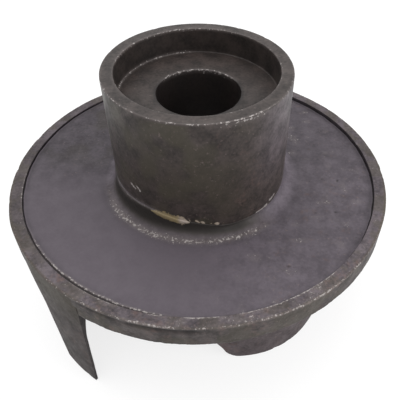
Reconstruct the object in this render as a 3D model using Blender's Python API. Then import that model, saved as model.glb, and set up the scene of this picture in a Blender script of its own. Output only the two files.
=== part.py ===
"""Dewatering pump impeller: a semi-open, two-vane iron casting with its machined hub.

The casting stands on the flat running edges of its two vanes, with its axis on world Z and its hub up.
All lengths are in metres and all angles in degrees. A plan view is a view down the axis.

The model is one solid. A turned body (plate, lip, hub, counterbore, bore and nose boss) comes from one
closed profile spun round the axis. Each vane is lofted through plan outlines taken at a row of heights,
so that it carries its moulding draft, its raked leading edge, its flare and its root fillet. The second
vane is the first one turned by half a turn.
"""

import math

import bmesh
import bpy
from mathutils import Matrix, Vector

NODE_NAME = "impeller_casting"

# Heights above the vanes' running edges.
LIP_TOP_Z = 0.0622
HUB_TOP_Z = 0.1113

# Back shroud: a plate with a raised lip round its hub-side face.
DISC_RADIUS = 0.0778
SHROUD_THICKNESS = 0.0097
LIP_WIDTH = 0.0046
FACE_RECESS = 0.0016
RIM_CHAMFER = 0.0005

# Hub, its counterbore and the shaft bore.
HUB_RADIUS = 0.0349
HUB_FOOT_FILLET = 0.0052
HUB_CHAMFER = 0.0007
COUNTERBORE_RADIUS = 0.0301
COUNTERBORE_DEPTH = 0.0101
BORE_RADIUS = 0.015875
BORE_CHAMFER = 0.0006

# Nose boss round the bore, on the vane side.
NOSE_FACE_RADIUS = 0.0235
NOSE_ROOT_RADIUS = 0.0270
NOSE_HEIGHT = 0.0150
NOSE_FILLET = 0.0045

# The vane's outer face at its running edge is two arcs that meet in a common tangent.
LEAD_ARC_CENTRE = Vector((0.0150, -0.0136))
LEAD_ARC_RADIUS = 0.0404
ARC_JUNCTION_ANGLE = -41.1
TRAIL_ARC_RADIUS = 0.0864
RUNNING_EDGE_START_ANGLE = -95.8
TRAIL_ARC_END_ANGLE = 48.0

# Vane section: its running edge is thin, and draft, a flare and a fillet thicken it towards the shroud.
VANE_EDGE_THICKNESS = 0.0066
DRAFT_ANGLE = 1.6
ROOT_FLARE = 0.0024
ROOT_FLARE_HEIGHT = 0.0195
ROOT_FLARE_POWER = 1.5
VANE_ROOT_FILLET = 0.0030
VANE_TURNED_RADIUS = DISC_RADIUS + 0.0003
VANE_TOP_DEPTH_IN_PLATE = 0.0010

# Vane ends: the leading one is raked and half round, the trailing one is a narrow flat.
LEADING_RAKE_ANGLE = 50.0
LEADING_NOSE_DEPTH = 0.5
TRAILING_FLAT_ANGLE_AT_EDGE = 53.0
TRAILING_FLAT_ANGLE_AT_SHROUD = 55.4

# Mesh resolution, and how finely crossings are found.
TURNED_SEGMENTS = 96
FILLET_STEPS = 4
FACE_STATIONS = 34
TURNED_END_STATIONS = 8
NOSE_STATIONS = 7
DRAFTED_FACE_LEVELS = 3
ROOT_FLARE_LEVELS = 3
ROOT_FILLET_LEVELS = 4
CROSSING_SEARCH_STEPS = 40
SHARP_ANGLE = 32.0

# Heights that follow from the sizes above.
PLATE_FACE_Z = LIP_TOP_Z - FACE_RECESS
SHROUD_UNDERSIDE_Z = LIP_TOP_Z - SHROUD_THICKNESS
NOSE_FACE_Z = SHROUD_UNDERSIDE_Z - NOSE_HEIGHT
COUNTERBORE_FLOOR_Z = HUB_TOP_Z - COUNTERBORE_DEPTH
VANE_TOP_Z = PLATE_FACE_Z - VANE_TOP_DEPTH_IN_PLATE


def remove_all_objects():
    """Clear the scene of whatever it opened with."""
    for obj in list(bpy.data.objects):
        bpy.data.objects.remove(obj, do_unlink=True)


def cast_iron_material():
    """Dark grey-brown iron, as cast and oiled."""
    material = bpy.data.materials.new("cast_iron")
    material.use_nodes = True
    shader = material.node_tree.nodes["Principled BSDF"]
    shader.inputs["Base Color"].default_value = (0.105, 0.095, 0.095, 1.0)
    shader.inputs["Metallic"].default_value = 0.6
    shader.inputs["Roughness"].default_value = 0.55
    return material


def fillet_points(centre_r, centre_z, radius, start_angle, end_angle):
    """Points (r, z) of a round between two straight runs of the profile, both ends included."""
    points = []
    for step in range(FILLET_STEPS + 1):
        angle = math.radians(start_angle + (end_angle - start_angle) * step / FILLET_STEPS)
        points.append((centre_r + radius * math.cos(angle), centre_z + radius * math.sin(angle)))
    return points


def turned_profile():
    """The closed half section (r, z) of everything that is round about the axis.

    It starts at the bore's mouth in the counterbore floor and runs out over the hub's end, down the hub,
    across the plate, over the lip, down the rim, back along the underside and up the bore.
    """
    profile = [
        (BORE_RADIUS, COUNTERBORE_FLOOR_Z - BORE_CHAMFER),
        (BORE_RADIUS + BORE_CHAMFER, COUNTERBORE_FLOOR_Z),
        (COUNTERBORE_RADIUS, COUNTERBORE_FLOOR_Z),
        (COUNTERBORE_RADIUS, HUB_TOP_Z - HUB_CHAMFER),
        (COUNTERBORE_RADIUS + HUB_CHAMFER, HUB_TOP_Z),
        (HUB_RADIUS - HUB_CHAMFER, HUB_TOP_Z),
        (HUB_RADIUS, HUB_TOP_Z - HUB_CHAMFER),
    ]
    profile += fillet_points(
        HUB_RADIUS + HUB_FOOT_FILLET, PLATE_FACE_Z + HUB_FOOT_FILLET, HUB_FOOT_FILLET, 180.0, 270.0
    )
    profile += [
        (DISC_RADIUS - LIP_WIDTH, PLATE_FACE_Z),
        (DISC_RADIUS - LIP_WIDTH, LIP_TOP_Z),
        (DISC_RADIUS - RIM_CHAMFER, LIP_TOP_Z),
        (DISC_RADIUS, LIP_TOP_Z - RIM_CHAMFER),
        (DISC_RADIUS, SHROUD_UNDERSIDE_Z + RIM_CHAMFER),
        (DISC_RADIUS - RIM_CHAMFER, SHROUD_UNDERSIDE_Z),
    ]
    profile += fillet_points(
        NOSE_ROOT_RADIUS + NOSE_FILLET, SHROUD_UNDERSIDE_Z - NOSE_FILLET, NOSE_FILLET, 90.0, 180.0
    )
    profile += [
        (NOSE_FACE_RADIUS, NOSE_FACE_Z),
        (BORE_RADIUS + BORE_CHAMFER, NOSE_FACE_Z),
        (BORE_RADIUS, NOSE_FACE_Z + BORE_CHAMFER),
    ]
    return profile


def mesh_object(name, mesh_builder):
    """Make an object from a bmesh, with its faces turned outwards."""
    bmesh.ops.recalc_face_normals(mesh_builder, faces=mesh_builder.faces)
    mesh = bpy.data.meshes.new(name)
    mesh_builder.to_mesh(mesh)
    mesh_builder.free()
    obj = bpy.data.objects.new(name, mesh)
    bpy.context.scene.collection.objects.link(obj)
    return obj


def bridge_closed_rings(mesh_builder, rings):
    """Fill the walls between neighbouring rings of vertices, each ring a closed loop of the same length."""
    for lower, upper in zip(rings, rings[1:]):
        count = len(lower)
        for index in range(count):
            following = (index + 1) % count
            mesh_builder.faces.new((lower[index], lower[following], upper[following], upper[index]))


def turned_body(name):
    """Spin the closed half section round the axis."""
    builder = bmesh.new()
    rings = []
    for segment in range(TURNED_SEGMENTS):
        angle = 2.0 * math.pi * segment / TURNED_SEGMENTS
        cosine, sine = math.cos(angle), math.sin(angle)
        rings.append([builder.verts.new((r * cosine, r * sine, z)) for r, z in turned_profile()])
    bridge_closed_rings(builder, rings + rings[:1])
    return mesh_object(name, builder)


def arc_point(distance):
    """Point and outward normal of the vane's outer face at its running edge.

    The distance runs along the two arcs from the start of the running edge towards the trailing end, and
    is negative on the part of the first arc under the raked leading edge.
    """
    lead_length = LEAD_ARC_RADIUS * math.radians(ARC_JUNCTION_ANGLE - RUNNING_EDGE_START_ANGLE)
    if distance < lead_length:
        angle = math.radians(RUNNING_EDGE_START_ANGLE) + distance / LEAD_ARC_RADIUS
        centre, radius = LEAD_ARC_CENTRE, LEAD_ARC_RADIUS
    else:
        junction = math.radians(ARC_JUNCTION_ANGLE)
        angle = junction + (distance - lead_length) / TRAIL_ARC_RADIUS
        step = LEAD_ARC_RADIUS - TRAIL_ARC_RADIUS
        centre = LEAD_ARC_CENTRE + step * Vector((math.cos(junction), math.sin(junction)))
        radius = TRAIL_ARC_RADIUS
    normal = Vector((math.cos(angle), math.sin(angle)))
    return centre + radius * normal, normal


def face_growth(height):
    """How far each face of the vane stands out from its place at the running edge, at a height."""
    growth = height * math.tan(math.radians(DRAFT_ANGLE))
    below_shroud = max(SHROUD_UNDERSIDE_Z - height, 0.0)
    flare_share = max(1.0 - below_shroud / ROOT_FLARE_HEIGHT, 0.0)
    growth += ROOT_FLARE * flare_share**ROOT_FLARE_POWER
    into_fillet = VANE_ROOT_FILLET - below_shroud
    if into_fillet > 0.0:
        growth += VANE_ROOT_FILLET - math.sqrt(max(VANE_ROOT_FILLET**2 - into_fillet**2, 0.0))
    return growth


def trailing_flat_angle(height):
    """Direction, round the axis, of the flat that ends the vane at a height."""
    share = min(height / SHROUD_UNDERSIDE_Z, 1.0)
    return TRAILING_FLAT_ANGLE_AT_EDGE + share * (TRAILING_FLAT_ANGLE_AT_SHROUD - TRAILING_FLAT_ANGLE_AT_EDGE)


def distance_of_crossing(offset, is_inside):
    """Where a face, set off from the outer one, leaves the region in which is_inside holds."""
    lead_length = LEAD_ARC_RADIUS * math.radians(ARC_JUNCTION_ANGLE - RUNNING_EDGE_START_ANGLE)
    trail_length = TRAIL_ARC_RADIUS * math.radians(TRAIL_ARC_END_ANGLE - ARC_JUNCTION_ANGLE)
    low, high = lead_length, lead_length + trail_length
    for _ in range(CROSSING_SEARCH_STEPS):
        middle = 0.5 * (low + high)
        point, normal = arc_point(middle)
        if is_inside(point + offset * normal):
            low = middle
        else:
            high = middle
    return low


def vane_outline(height):
    """The closed plan outline of the vane at a height, always with the same number of points.

    It runs along the outer face to the turned radius, round the turned end, over the trailing flat, back
    along the inner face and round the leading nose. The raked leading edge starts further back at greater
    heights.
    """
    outer_offset = face_growth(height)
    inner_offset = -(VANE_EDGE_THICKNESS + face_growth(height))
    half_thickness = 0.5 * (outer_offset - inner_offset)
    middle_offset = 0.5 * (outer_offset + inner_offset)
    nose_depth = LEADING_NOSE_DEPTH * half_thickness
    lead = nose_depth - height / math.tan(math.radians(LEADING_RAKE_ANGLE))
    last = math.radians(trailing_flat_angle(height))
    outer_end = distance_of_crossing(outer_offset, lambda point: point.length < VANE_TURNED_RADIUS)
    inner_end = distance_of_crossing(inner_offset, lambda point: math.atan2(point.y, point.x) < last)

    outline = []
    for step in range(FACE_STATIONS):
        point, normal = arc_point(lead + (outer_end - lead) * step / (FACE_STATIONS - 1))
        outline.append(point + outer_offset * normal)
    first = math.atan2(outline[-1].y, outline[-1].x)
    for step in range(1, TURNED_END_STATIONS + 1):
        angle = first + (last - first) * step / TURNED_END_STATIONS
        outline.append(VANE_TURNED_RADIUS * Vector((math.cos(angle), math.sin(angle))))
    for step in range(FACE_STATIONS):
        point, normal = arc_point(inner_end + (lead - inner_end) * step / (FACE_STATIONS - 1))
        outline.append(point + inner_offset * normal)
    nose_point, nose_normal = arc_point(lead)
    nose_centre = nose_point + middle_offset * nose_normal
    forward = Vector((nose_normal.y, -nose_normal.x))
    for step in range(1, NOSE_STATIONS):
        angle = math.pi * step / NOSE_STATIONS
        across = -half_thickness * math.cos(angle) * nose_normal
        outline.append(nose_centre + across + nose_depth * math.sin(angle) * forward)
    return outline


def vane_heights():
    """Heights of the outlines, up the drafted faces, through the flare and the fillet, into the plate."""
    flare_start = SHROUD_UNDERSIDE_Z - ROOT_FLARE_HEIGHT
    fillet_start = SHROUD_UNDERSIDE_Z - VANE_ROOT_FILLET
    heights = [flare_start * step / DRAFTED_FACE_LEVELS for step in range(DRAFTED_FACE_LEVELS)]
    rise = fillet_start - flare_start
    heights += [flare_start + rise * step / ROOT_FLARE_LEVELS for step in range(ROOT_FLARE_LEVELS + 1)]
    for step in range(1, ROOT_FILLET_LEVELS + 1):
        turn = 0.5 * math.pi * step / ROOT_FILLET_LEVELS
        heights.append(fillet_start + VANE_ROOT_FILLET * math.sin(turn))
    heights.append(VANE_TOP_Z)
    return heights


def vane_solid(name, turn):
    """Loft one vane through its outlines and turn it round the axis."""
    builder = bmesh.new()
    rings = []
    for height in vane_heights():
        rings.append([builder.verts.new((p.x, p.y, height)) for p in vane_outline(height)])
    bridge_closed_rings(builder, rings)
    builder.faces.new(rings[0])
    builder.faces.new(rings[-1])
    bmesh.ops.rotate(
        builder, cent=(0.0, 0.0, 0.0), matrix=Matrix.Rotation(math.radians(turn), 3, "Z"), verts=builder.verts
    )
    vane = mesh_object(name, builder)
    vane.hide_render = True
    vane.display_type = "WIRE"
    return vane


def join_to_casting(casting, piece):
    """Grow the casting by a piece that reaches into it."""
    modifier = casting.modifiers.new(f"join_{piece.name}", "BOOLEAN")
    modifier.operation = "UNION"
    modifier.solver = "EXACT"
    modifier.object = piece


def build_impeller():
    remove_all_objects()
    casting = turned_body(NODE_NAME)
    casting.data.materials.append(cast_iron_material())
    join_to_casting(casting, vane_solid("second_vane", 0.0))
    join_to_casting(casting, vane_solid("first_vane", 180.0))
    casting.data.shade_smooth()
    casting.data.set_sharp_from_angle(angle=math.radians(SHARP_ANGLE))


build_impeller()
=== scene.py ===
"""Looks of the dewatering pump impeller: the finished skin of one iron casting, its stage and its light.

The casting stands on its vanes' running edges with its axis on world Z. Its skin is made of five closed
surfaces that overlap inside the metal: the turned hub, the back plate with the hub's cast foot, the rim
with its raised lip, and the two vanes. Lengths are in metres. Directions round the axis are in degrees
from +X towards +Y, so that the camera looks from -90, and a grid named theta holds them in radians.
"""

import math
from functools import reduce

import bpy
import numpy as np
from mathutils import Matrix, Vector


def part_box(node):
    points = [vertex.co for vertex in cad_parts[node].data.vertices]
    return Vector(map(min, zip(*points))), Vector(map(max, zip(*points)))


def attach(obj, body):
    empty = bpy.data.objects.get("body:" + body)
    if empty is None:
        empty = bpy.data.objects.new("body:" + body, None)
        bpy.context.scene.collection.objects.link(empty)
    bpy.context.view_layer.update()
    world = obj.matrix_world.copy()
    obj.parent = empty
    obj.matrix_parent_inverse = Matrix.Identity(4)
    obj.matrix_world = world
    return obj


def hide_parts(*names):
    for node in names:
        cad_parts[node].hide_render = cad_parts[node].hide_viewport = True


bl_info = {
    "name": "Pump impeller finish",
    "version": (1, 0, 0),
    "blender": (4, 5, 0),
    "location": "View3D > Sidebar > Impeller",
    "description": "Builds the finished surfaces of a cast-iron pump impeller and its studio",
    "category": "Object",
}

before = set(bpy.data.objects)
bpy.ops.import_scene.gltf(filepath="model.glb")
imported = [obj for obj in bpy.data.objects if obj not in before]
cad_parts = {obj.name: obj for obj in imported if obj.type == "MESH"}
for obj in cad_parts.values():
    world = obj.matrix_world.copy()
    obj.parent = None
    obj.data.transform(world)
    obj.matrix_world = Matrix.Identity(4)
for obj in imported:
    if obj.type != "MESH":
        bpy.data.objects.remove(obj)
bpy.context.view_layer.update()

CASTING = "impeller_casting"
BODY = "root"
CASTING_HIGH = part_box(CASTING)[1]

MM = 0.001
LIP_BELOW_HUB_END = 0.0491

# Columns round the axis of each spun surface and the spacing of the rows of its half section, and how many
# points each rounded corner of a half section has.
HUB_COLUMNS, HUB_PITCH = 560, 0.55 * MM
PLATE_COLUMNS, PLATE_PITCH = 660, 0.64 * MM
RIM_COLUMNS, RIM_PITCH = 1500, 0.42 * MM
CURVE_POINTS = 6

# The hub's wall and bore end this far below the lip's top, inside the metal.
HUB_ROOT_DEPTH = 3.0 * MM

# Rows of the hub's foot, steps across the plate's face, and where the groove's rows lie across its width.
FOOT_ROWS = 22
FACE_STEPS = 40
GROOVE_SHARES = np.array([-0.16, 0.0, 0.10, 0.30, 0.55, 0.80, 1.0, 1.4])[:, None]
GROOVE_DEPTH = 0.50 * MM

# The plate's outer face rises a little on the far left.
LEFT_LIFT = 0.75 * MM

# The rim's side stands in from the turned vane ends. The casting is a little out of round, so the side
# bulges: the share of the bulge, the direction and the width of each place.
RIM_INSET = 0.20 * MM
SIDE_BULGE = 0.45 * MM
SIDE_BULGES = ((1.0, -170.0, 24.0), (1.0, -10.0, 38.0), (0.75, -159.0, 9.0))

# The rim's bottom edge hangs a little lower at the front.
FRONT_DROP = 0.45 * MM

# Bright stretches of the lip's inner edge, partly rubbed metal and partly a painted highlight where it
# catches the light at the front right: strength, both directions and softness of each stretch.
LIP_EDGE_WEAR_AND_HIGHLIGHT = (
    (0.74, -81.0, -50.0, 2.0),
    (0.72, -105.0, -101.5, 1.0),
    (0.76, -96.0, -86.5, 1.2),
    (0.56, -130.0, -114.0, 4.0),
    (0.40, -182.0, -165.0, 5.0),
)

# The vane's outer face at its running edge is two arcs that meet in a common tangent.
LEAD_ARC_CENTRE = np.array([0.0150, -0.0136])
LEAD_ARC_RADIUS = 0.0404
ARC_JUNCTION = math.radians(-41.1)
TRAIL_ARC_RADIUS = 0.0864
RUNNING_EDGE_START = math.radians(-95.8)
LEAD_ARC_LENGTH = LEAD_ARC_RADIUS * (ARC_JUNCTION - RUNNING_EDGE_START)
TRAIL_ARC_CENTRE = LEAD_ARC_CENTRE + (LEAD_ARC_RADIUS - TRAIL_ARC_RADIUS) * np.array(
    [math.cos(ARC_JUNCTION), math.sin(ARC_JUNCTION)]
)

# The flat that ends a vane: its direction round the axis at the running edge and at the plate.
TRAILING_FLAT_AT_EDGE = math.radians(52.65)
TRAILING_FLAT_AT_PLATE = math.radians(55.2)

# How a vane's section swells towards the plate, and how its leading edge is rounded.
ROOT_FLARE_POWER = 1.5
LEADING_NOSE_DEPTH = 0.5
LEADING_CORNER_ROUND = 2.4 * MM
LEADING_SWELL = 1.2 * MM
LEADING_SWELL_HEIGHT = 2.6 * MM

# A vane's turned end stands this far out past the rim, and the part of the rim turned with it is this deep.
TURNED_END_PROUD = 0.02 * MM
TURNED_PAD_DEPTH = 3.4 * MM

# How many points a vane's outline has on each face, its turned end, its flat and its nose.
FACE_COUNT = 240
END_COUNT = 34
FLAT_COUNT = 6
NOSE_COUNT = 16
INNER_START = FACE_COUNT + END_COUNT + FLAT_COUNT - 1

# The running edge is rounded over: height and shrink of each outline in millimetres. Outlines up the drafted
# faces and through the root fillet follow.
RUNNING_EDGE_ROUND = ((0.0, 0.40), (0.03, 0.25), (0.12, 0.11), (0.25, 0.03), (0.42, 0.0), (0.8, 0.0))
DRAFTED_START = 1.2 * MM
DRAFTED_LAYERS = 88
FILLET_LAYERS = 24

# Inside the plate a vane goes up unchanged, then shortens to a stub at its turned end in thin layers.
ROOT_RISE_MM = 3.4
SHORTENING_RISE_MM = 0.3
SHORTENING_LAYERS = 14
STUB_LENGTH = 9.0 * MM

# Above the stub comes the turned part of the rim: depth below the lip's top and shrink, in millimetres.
TURNED_PAD_LAYERS = (
    (4.6, 0.0),
    (3.4, 0.0),
    (2.2, 0.0),
    (1.2, 0.0),
    (0.60, 0.02),
    (0.30, 0.12),
    (0.16, 0.28),
    (0.12, 0.5),
)

# Name, turn round the axis and noise seed of each vane.
VANES = (("first_vane", 180.0, 101), ("second_vane", 0.0, 131))

# Marks on the plate: x, y and radius of each pore in millimetres.
PLATE_PORES = (
    (53.5, -25.7, 0.8),
    (45.4, -25.9, 0.6),
    (58.1, -7.0, 0.7),
    (52.0, -5.6, 0.6),
    (30.5, -52.3, 0.5),
    (-21.0, -60.5, 0.4),
)
BROWN_PATCH_X, BROWN_PATCH_Y, BROWN_PATCH_RADIUS = 44.0 * MM, -19.0 * MM, 11.0 * MM

# Marks on the turned hub wall: direction, height and radius of each pore, and direction and height of both
# ends of each bright scratch. Heights and radii are in millimetres.
HUB_PORES = ((-65.2, 72.9, 0.5), (-55.0, 66.4, 0.5), (-84.0, 88.0, 0.4), (-50.0, 84.0, 0.4))
HUB_SCRATCHES = (
    (-138.3, 76.9, -135.3, 75.8),
    (-133.4, 77.5, -130.8, 76.0),
    (-40.4, 65.6, -34.6, 66.0),
    (-53.0, 63.9, -43.3, 64.4),
    (-58.3, 63.4, -56.3, 63.6),
)

# The film and the residue along the machined edge lie on the hub and on its foot alike.
FILM_WEAR = 0.15
FILM_OLIVE = 0.5
RESIDUE_HEIGHT = 0.22 * MM
PALE_RESIDUE_ARC = (-104.5, -76.0, 1.5)

# Point masks that every piece carries for its material: how far its skin is turned, lowered where a painted
# sheen lightens the hub's upper right wall, its brightness with painted light and shade, how mottled and how
# speckled it is, and where olive film, rust, grime with painted shade, dried residue, the pale part of that
# residue, and rubbed metal with painted highlights lie.
MASK_NAMES = ("turned", "tone", "mottle", "speck", "olive", "rust", "shade_and_grime", "residue", "pale", "wear_and_highlight")

# Noise breaks up the border of some masks: the point mask, the noise's scale and depth, and the softness.
BROKEN_MASKS = {
    "rust": ("rust", 420.0, 2.4, 0.8),
    "residue": ("residue", 800.0, 1.1, 0.12),
    "wear_and_highlight": ("wear_and_highlight", 1000.0, 2.8, 0.20),
    "pale specks": ("speck", 820.0, 2.8, 0.45),
    "dark specks": ("speck", 690.0, 2.8, 0.45),
}

# How dark and how bright stains make the cast and the turned skin, and how strongly each effect covers it.
CAST_STAIN_RANGE = (0.58, 1.42)
TURNED_STAIN_RANGE = (0.55, 1.45)
RUST_SHARE = 0.60
PALE_SPECK_SHARE = 0.55
DARK_SPECK_SHARE = 0.45
# The soft rubbed layer also lays on painted edge highlights.
RUBBED_AND_LIT_SHARE = 0.75

# Surface of the iron: stains change the roughness by the drift, and the mottle mask deepens the grain.
IRON_METALLIC = 0.10
ROUGHNESS_DRIFT = 0.08
GRAIN_STRENGTH = 0.5
LEAST_GRAIN = 0.2

# Each skin's colour and roughness settings, what it adds to that roughness, its grain's height and gloss.
# The vanes are duller and browner, and the turned skin shows the cast colour where its mask is weak.
SKINS = {
    "cast_skin": ("cast_colour", "cast_roughness", 0.0, 0.13 * MM, 0.34),
    "vane_skin": ("vane_colour", "cast_roughness", 0.05, 0.13 * MM, 0.26),
    "turned_skin": ("cast_colour", "turned_roughness", 0.0, 0.05 * MM, 0.36),
}

# The photograph's camera, measured from the middle of the lip's top plane. Its angles are in radians.
CAMERA_DISTANCE = 0.21901
CAMERA_ELEVATION = math.radians(40.846)
CAMERA_PAN = 0.0659
CAMERA_TILT = -0.0830
CAMERA_ROLL = -0.0325
CAMERA_LENS_MM = 45.76
SENSOR_MM = 36.0
CAMERA_SHIFT = (-0.09, 0.03)
CAMERA_CLIP = (0.01, 20.0)

# The floor's half width, and the name, place, target and width of each softbox.
FLOOR_HALF_WIDTH = 3.0
OVERHEAD_SOFTBOX = ("overhead_softbox", (-0.10, 0.10, 0.75), (0.0, 0.0, 0.05), 0.7)
SIDE_SOFTBOX = ("side_softbox", (0.62, -0.30, 0.30), (0.0, 0.0, 0.09), 0.45)


class ImpellerSizes(bpy.types.PropertyGroup):
    """Finished sizes of the casting."""

    rim_radius: bpy.props.FloatProperty(
        name="Rim radius",
        description="Outer radius of the back plate",
        default=CASTING_HIGH.x,
        unit="LENGTH",
    )
    lip_top: bpy.props.FloatProperty(
        name="Lip height",
        description="Height of the lip's top above the running edges",
        default=CASTING_HIGH.z - LIP_BELOW_HUB_END,
        unit="LENGTH",
    )
    hub_top: bpy.props.FloatProperty(
        name="Hub end", description="Height of the hub's end", default=CASTING_HIGH.z, unit="LENGTH"
    )
    plate_thickness: bpy.props.FloatProperty(
        name="Rim thickness", description="Thickness of the plate at its rim", default=0.0097, unit="LENGTH"
    )
    lip_width: bpy.props.FloatProperty(
        name="Lip width", description="Width of the raised lip", default=0.0046, unit="LENGTH"
    )
    face_recess: bpy.props.FloatProperty(
        name="Face recess",
        description="Depth of the plate's face below the lip",
        default=0.0016,
        unit="LENGTH",
    )
    hub_radius: bpy.props.FloatProperty(
        name="Hub radius", description="Radius of the turned hub", default=0.0349, unit="LENGTH"
    )
    counterbore_radius: bpy.props.FloatProperty(
        name="Counterbore radius",
        description="Radius of the seal counterbore",
        default=0.0301,
        unit="LENGTH",
    )
    counterbore_depth: bpy.props.FloatProperty(
        name="Counterbore depth", description="Depth of the seal counterbore", default=0.0101, unit="LENGTH"
    )
    bore_radius: bpy.props.FloatProperty(
        name="Bore radius", description="Radius of the shaft bore", default=0.015875, unit="LENGTH"
    )
    nose_radius: bpy.props.FloatProperty(
        name="Nose radius", description="Radius of the nose boss at its root", default=0.0270, unit="LENGTH"
    )
    nose_face_radius: bpy.props.FloatProperty(
        name="Nose face radius",
        description="Radius of the nose boss at its face",
        default=0.0235,
        unit="LENGTH",
    )
    nose_height: bpy.props.FloatProperty(
        name="Nose height", description="How far the nose boss stands down", default=0.0150, unit="LENGTH"
    )
    vane_thickness: bpy.props.FloatProperty(
        name="Vane thickness",
        description="Thickness of a vane's running edge",
        default=0.0066,
        unit="LENGTH",
    )
    vane_draft: bpy.props.FloatProperty(
        name="Vane draft",
        description="Moulding draft of each vane face",
        default=math.radians(1.6),
        unit="ROTATION",
    )
    root_flare: bpy.props.FloatProperty(
        name="Root flare",
        description="How far a face flares out at the plate",
        default=0.0024,
        unit="LENGTH",
    )
    root_flare_height: bpy.props.FloatProperty(
        name="Flare height", description="Height over which the faces flare", default=0.0170, unit="LENGTH"
    )
    root_fillet: bpy.props.FloatProperty(
        name="Root fillet", description="Fillet between a vane and the plate", default=0.0030, unit="LENGTH"
    )
    leading_rake: bpy.props.FloatProperty(
        name="Leading rake",
        description="Slope of the raked leading edge above the running edge",
        default=math.radians(50.0),
        unit="ROTATION",
    )


class ImpellerFinish(bpy.types.PropertyGroup):
    """Colours and roughness of the iron."""

    cast_colour: bpy.props.FloatVectorProperty(
        name="Cast skin",
        description="Colour of the cast skin",
        default=(0.080, 0.067, 0.080),
        subtype="COLOR",
    )
    turned_colour: bpy.props.FloatVectorProperty(
        name="Turned skin",
        description="Colour of the oiled turned faces",
        default=(0.036, 0.028, 0.0255),
        subtype="COLOR",
    )
    vane_colour: bpy.props.FloatVectorProperty(
        name="Vane skin",
        description="Colour of the vanes' skin",
        default=(0.086, 0.066, 0.073),
        subtype="COLOR",
    )
    olive_colour: bpy.props.FloatVectorProperty(
        name="Olive film",
        description="Colour of the dried oil film",
        default=(0.047, 0.040, 0.028),
        subtype="COLOR",
    )
    rust_colour: bpy.props.FloatVectorProperty(
        name="Rust",
        description="Colour of the thin surface rust",
        default=(0.105, 0.066, 0.058),
        subtype="COLOR",
    )
    pale_speck_colour: bpy.props.FloatVectorProperty(
        name="Pale specks",
        description="Colour of the pale specks",
        default=(0.155, 0.118, 0.112),
        subtype="COLOR",
    )
    dark_speck_colour: bpy.props.FloatVectorProperty(
        name="Dark specks",
        description="Colour of the dark specks",
        default=(0.020, 0.016, 0.016),
        subtype="COLOR",
    )
    # Painted shade in corners, recesses and along edges, with some grime.
    shade_and_grime_colour: bpy.props.FloatVectorProperty(
        name="Grime",
        description="Colour of the grime in corners",
        default=(0.010, 0.008, 0.008),
        subtype="COLOR",
    )
    residue_colour: bpy.props.FloatVectorProperty(
        name="Tan residue",
        description="Colour of the dried residue at the hub's foot",
        default=(0.20, 0.155, 0.085),
        subtype="COLOR",
    )
    pale_residue_colour: bpy.props.FloatVectorProperty(
        name="Pale residue",
        description="Colour of the paler residue at the front",
        default=(0.32, 0.27, 0.24),
        subtype="COLOR",
    )
    # Softly rubbed edges, and painted highlights where edges catch the light.
    rubbed_and_lit_colour: bpy.props.FloatVectorProperty(
        name="Rubbed iron",
        description="Colour of softly rubbed edges",
        default=(0.17, 0.145, 0.14),
        subtype="COLOR",
    )
    # Bare edges and chips, and the brightest painted highlights on edges.
    bright_colour: bpy.props.FloatVectorProperty(
        name="Bare metal",
        description="Colour of bare edges and chips",
        default=(0.30, 0.275, 0.265),
        subtype="COLOR",
    )
    cast_roughness: bpy.props.FloatProperty(
        name="Cast roughness", description="Roughness of the cast skin", default=0.60, min=0.0, max=1.0
    )
    turned_roughness: bpy.props.FloatProperty(
        name="Turned roughness", description="Roughness of the turned faces", default=0.46, min=0.0, max=1.0
    )


class StudioLight(bpy.types.PropertyGroup):
    """Strengths of the studio's light."""

    surround: bpy.props.FloatProperty(
        name="Surround", description="Brightness of the white surround", default=0.95, min=0.0
    )
    overhead_power: bpy.props.FloatProperty(
        name="Overhead", description="Power of the overhead softbox in watts", default=2.6, min=0.0
    )
    side_power: bpy.props.FloatProperty(
        name="Side light", description="Power of the softbox on the right in watts", default=2.2, min=0.0
    )
    floor_glow: bpy.props.FloatProperty(
        name="Floor glow",
        description="Brightness of the light that comes through the floor",
        default=0.78,
        min=0.0,
    )


def smoothstep(low, high, value):
    """0 below low, 1 above high and an S-shaped cubic between them."""
    t = np.clip((value - low) / (high - low), 0.0, 1.0)
    return t * t * (3.0 - 2.0 * t)


def bell(value, middle, width):
    """1 at the middle, falling off as a bell on both sides."""
    return np.exp(-(((value - middle) / width) ** 2))


def strongest(*fields):
    """The greatest of several masks at each point."""
    return reduce(np.maximum, fields)


def angle_from(theta, centre_degrees):
    """Signed angle in degrees from a direction round the axis, between -180 and 180."""
    return (np.degrees(theta) - centre_degrees + 180.0) % 360.0 - 180.0


def arc_bell(theta, centre, width):
    """1 in a direction, falling off as a bell on both sides."""
    return bell(angle_from(theta, centre), 0.0, width)


def arc_mask(theta, start, end, soft):
    """1 between two directions in degrees and 0 outside, with soft ends."""
    middle, half = 0.5 * (start + end), 0.5 * (end - start)
    away = np.abs(angle_from(theta, middle))
    return 1.0 - smoothstep(half - soft, half + soft, away)


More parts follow.
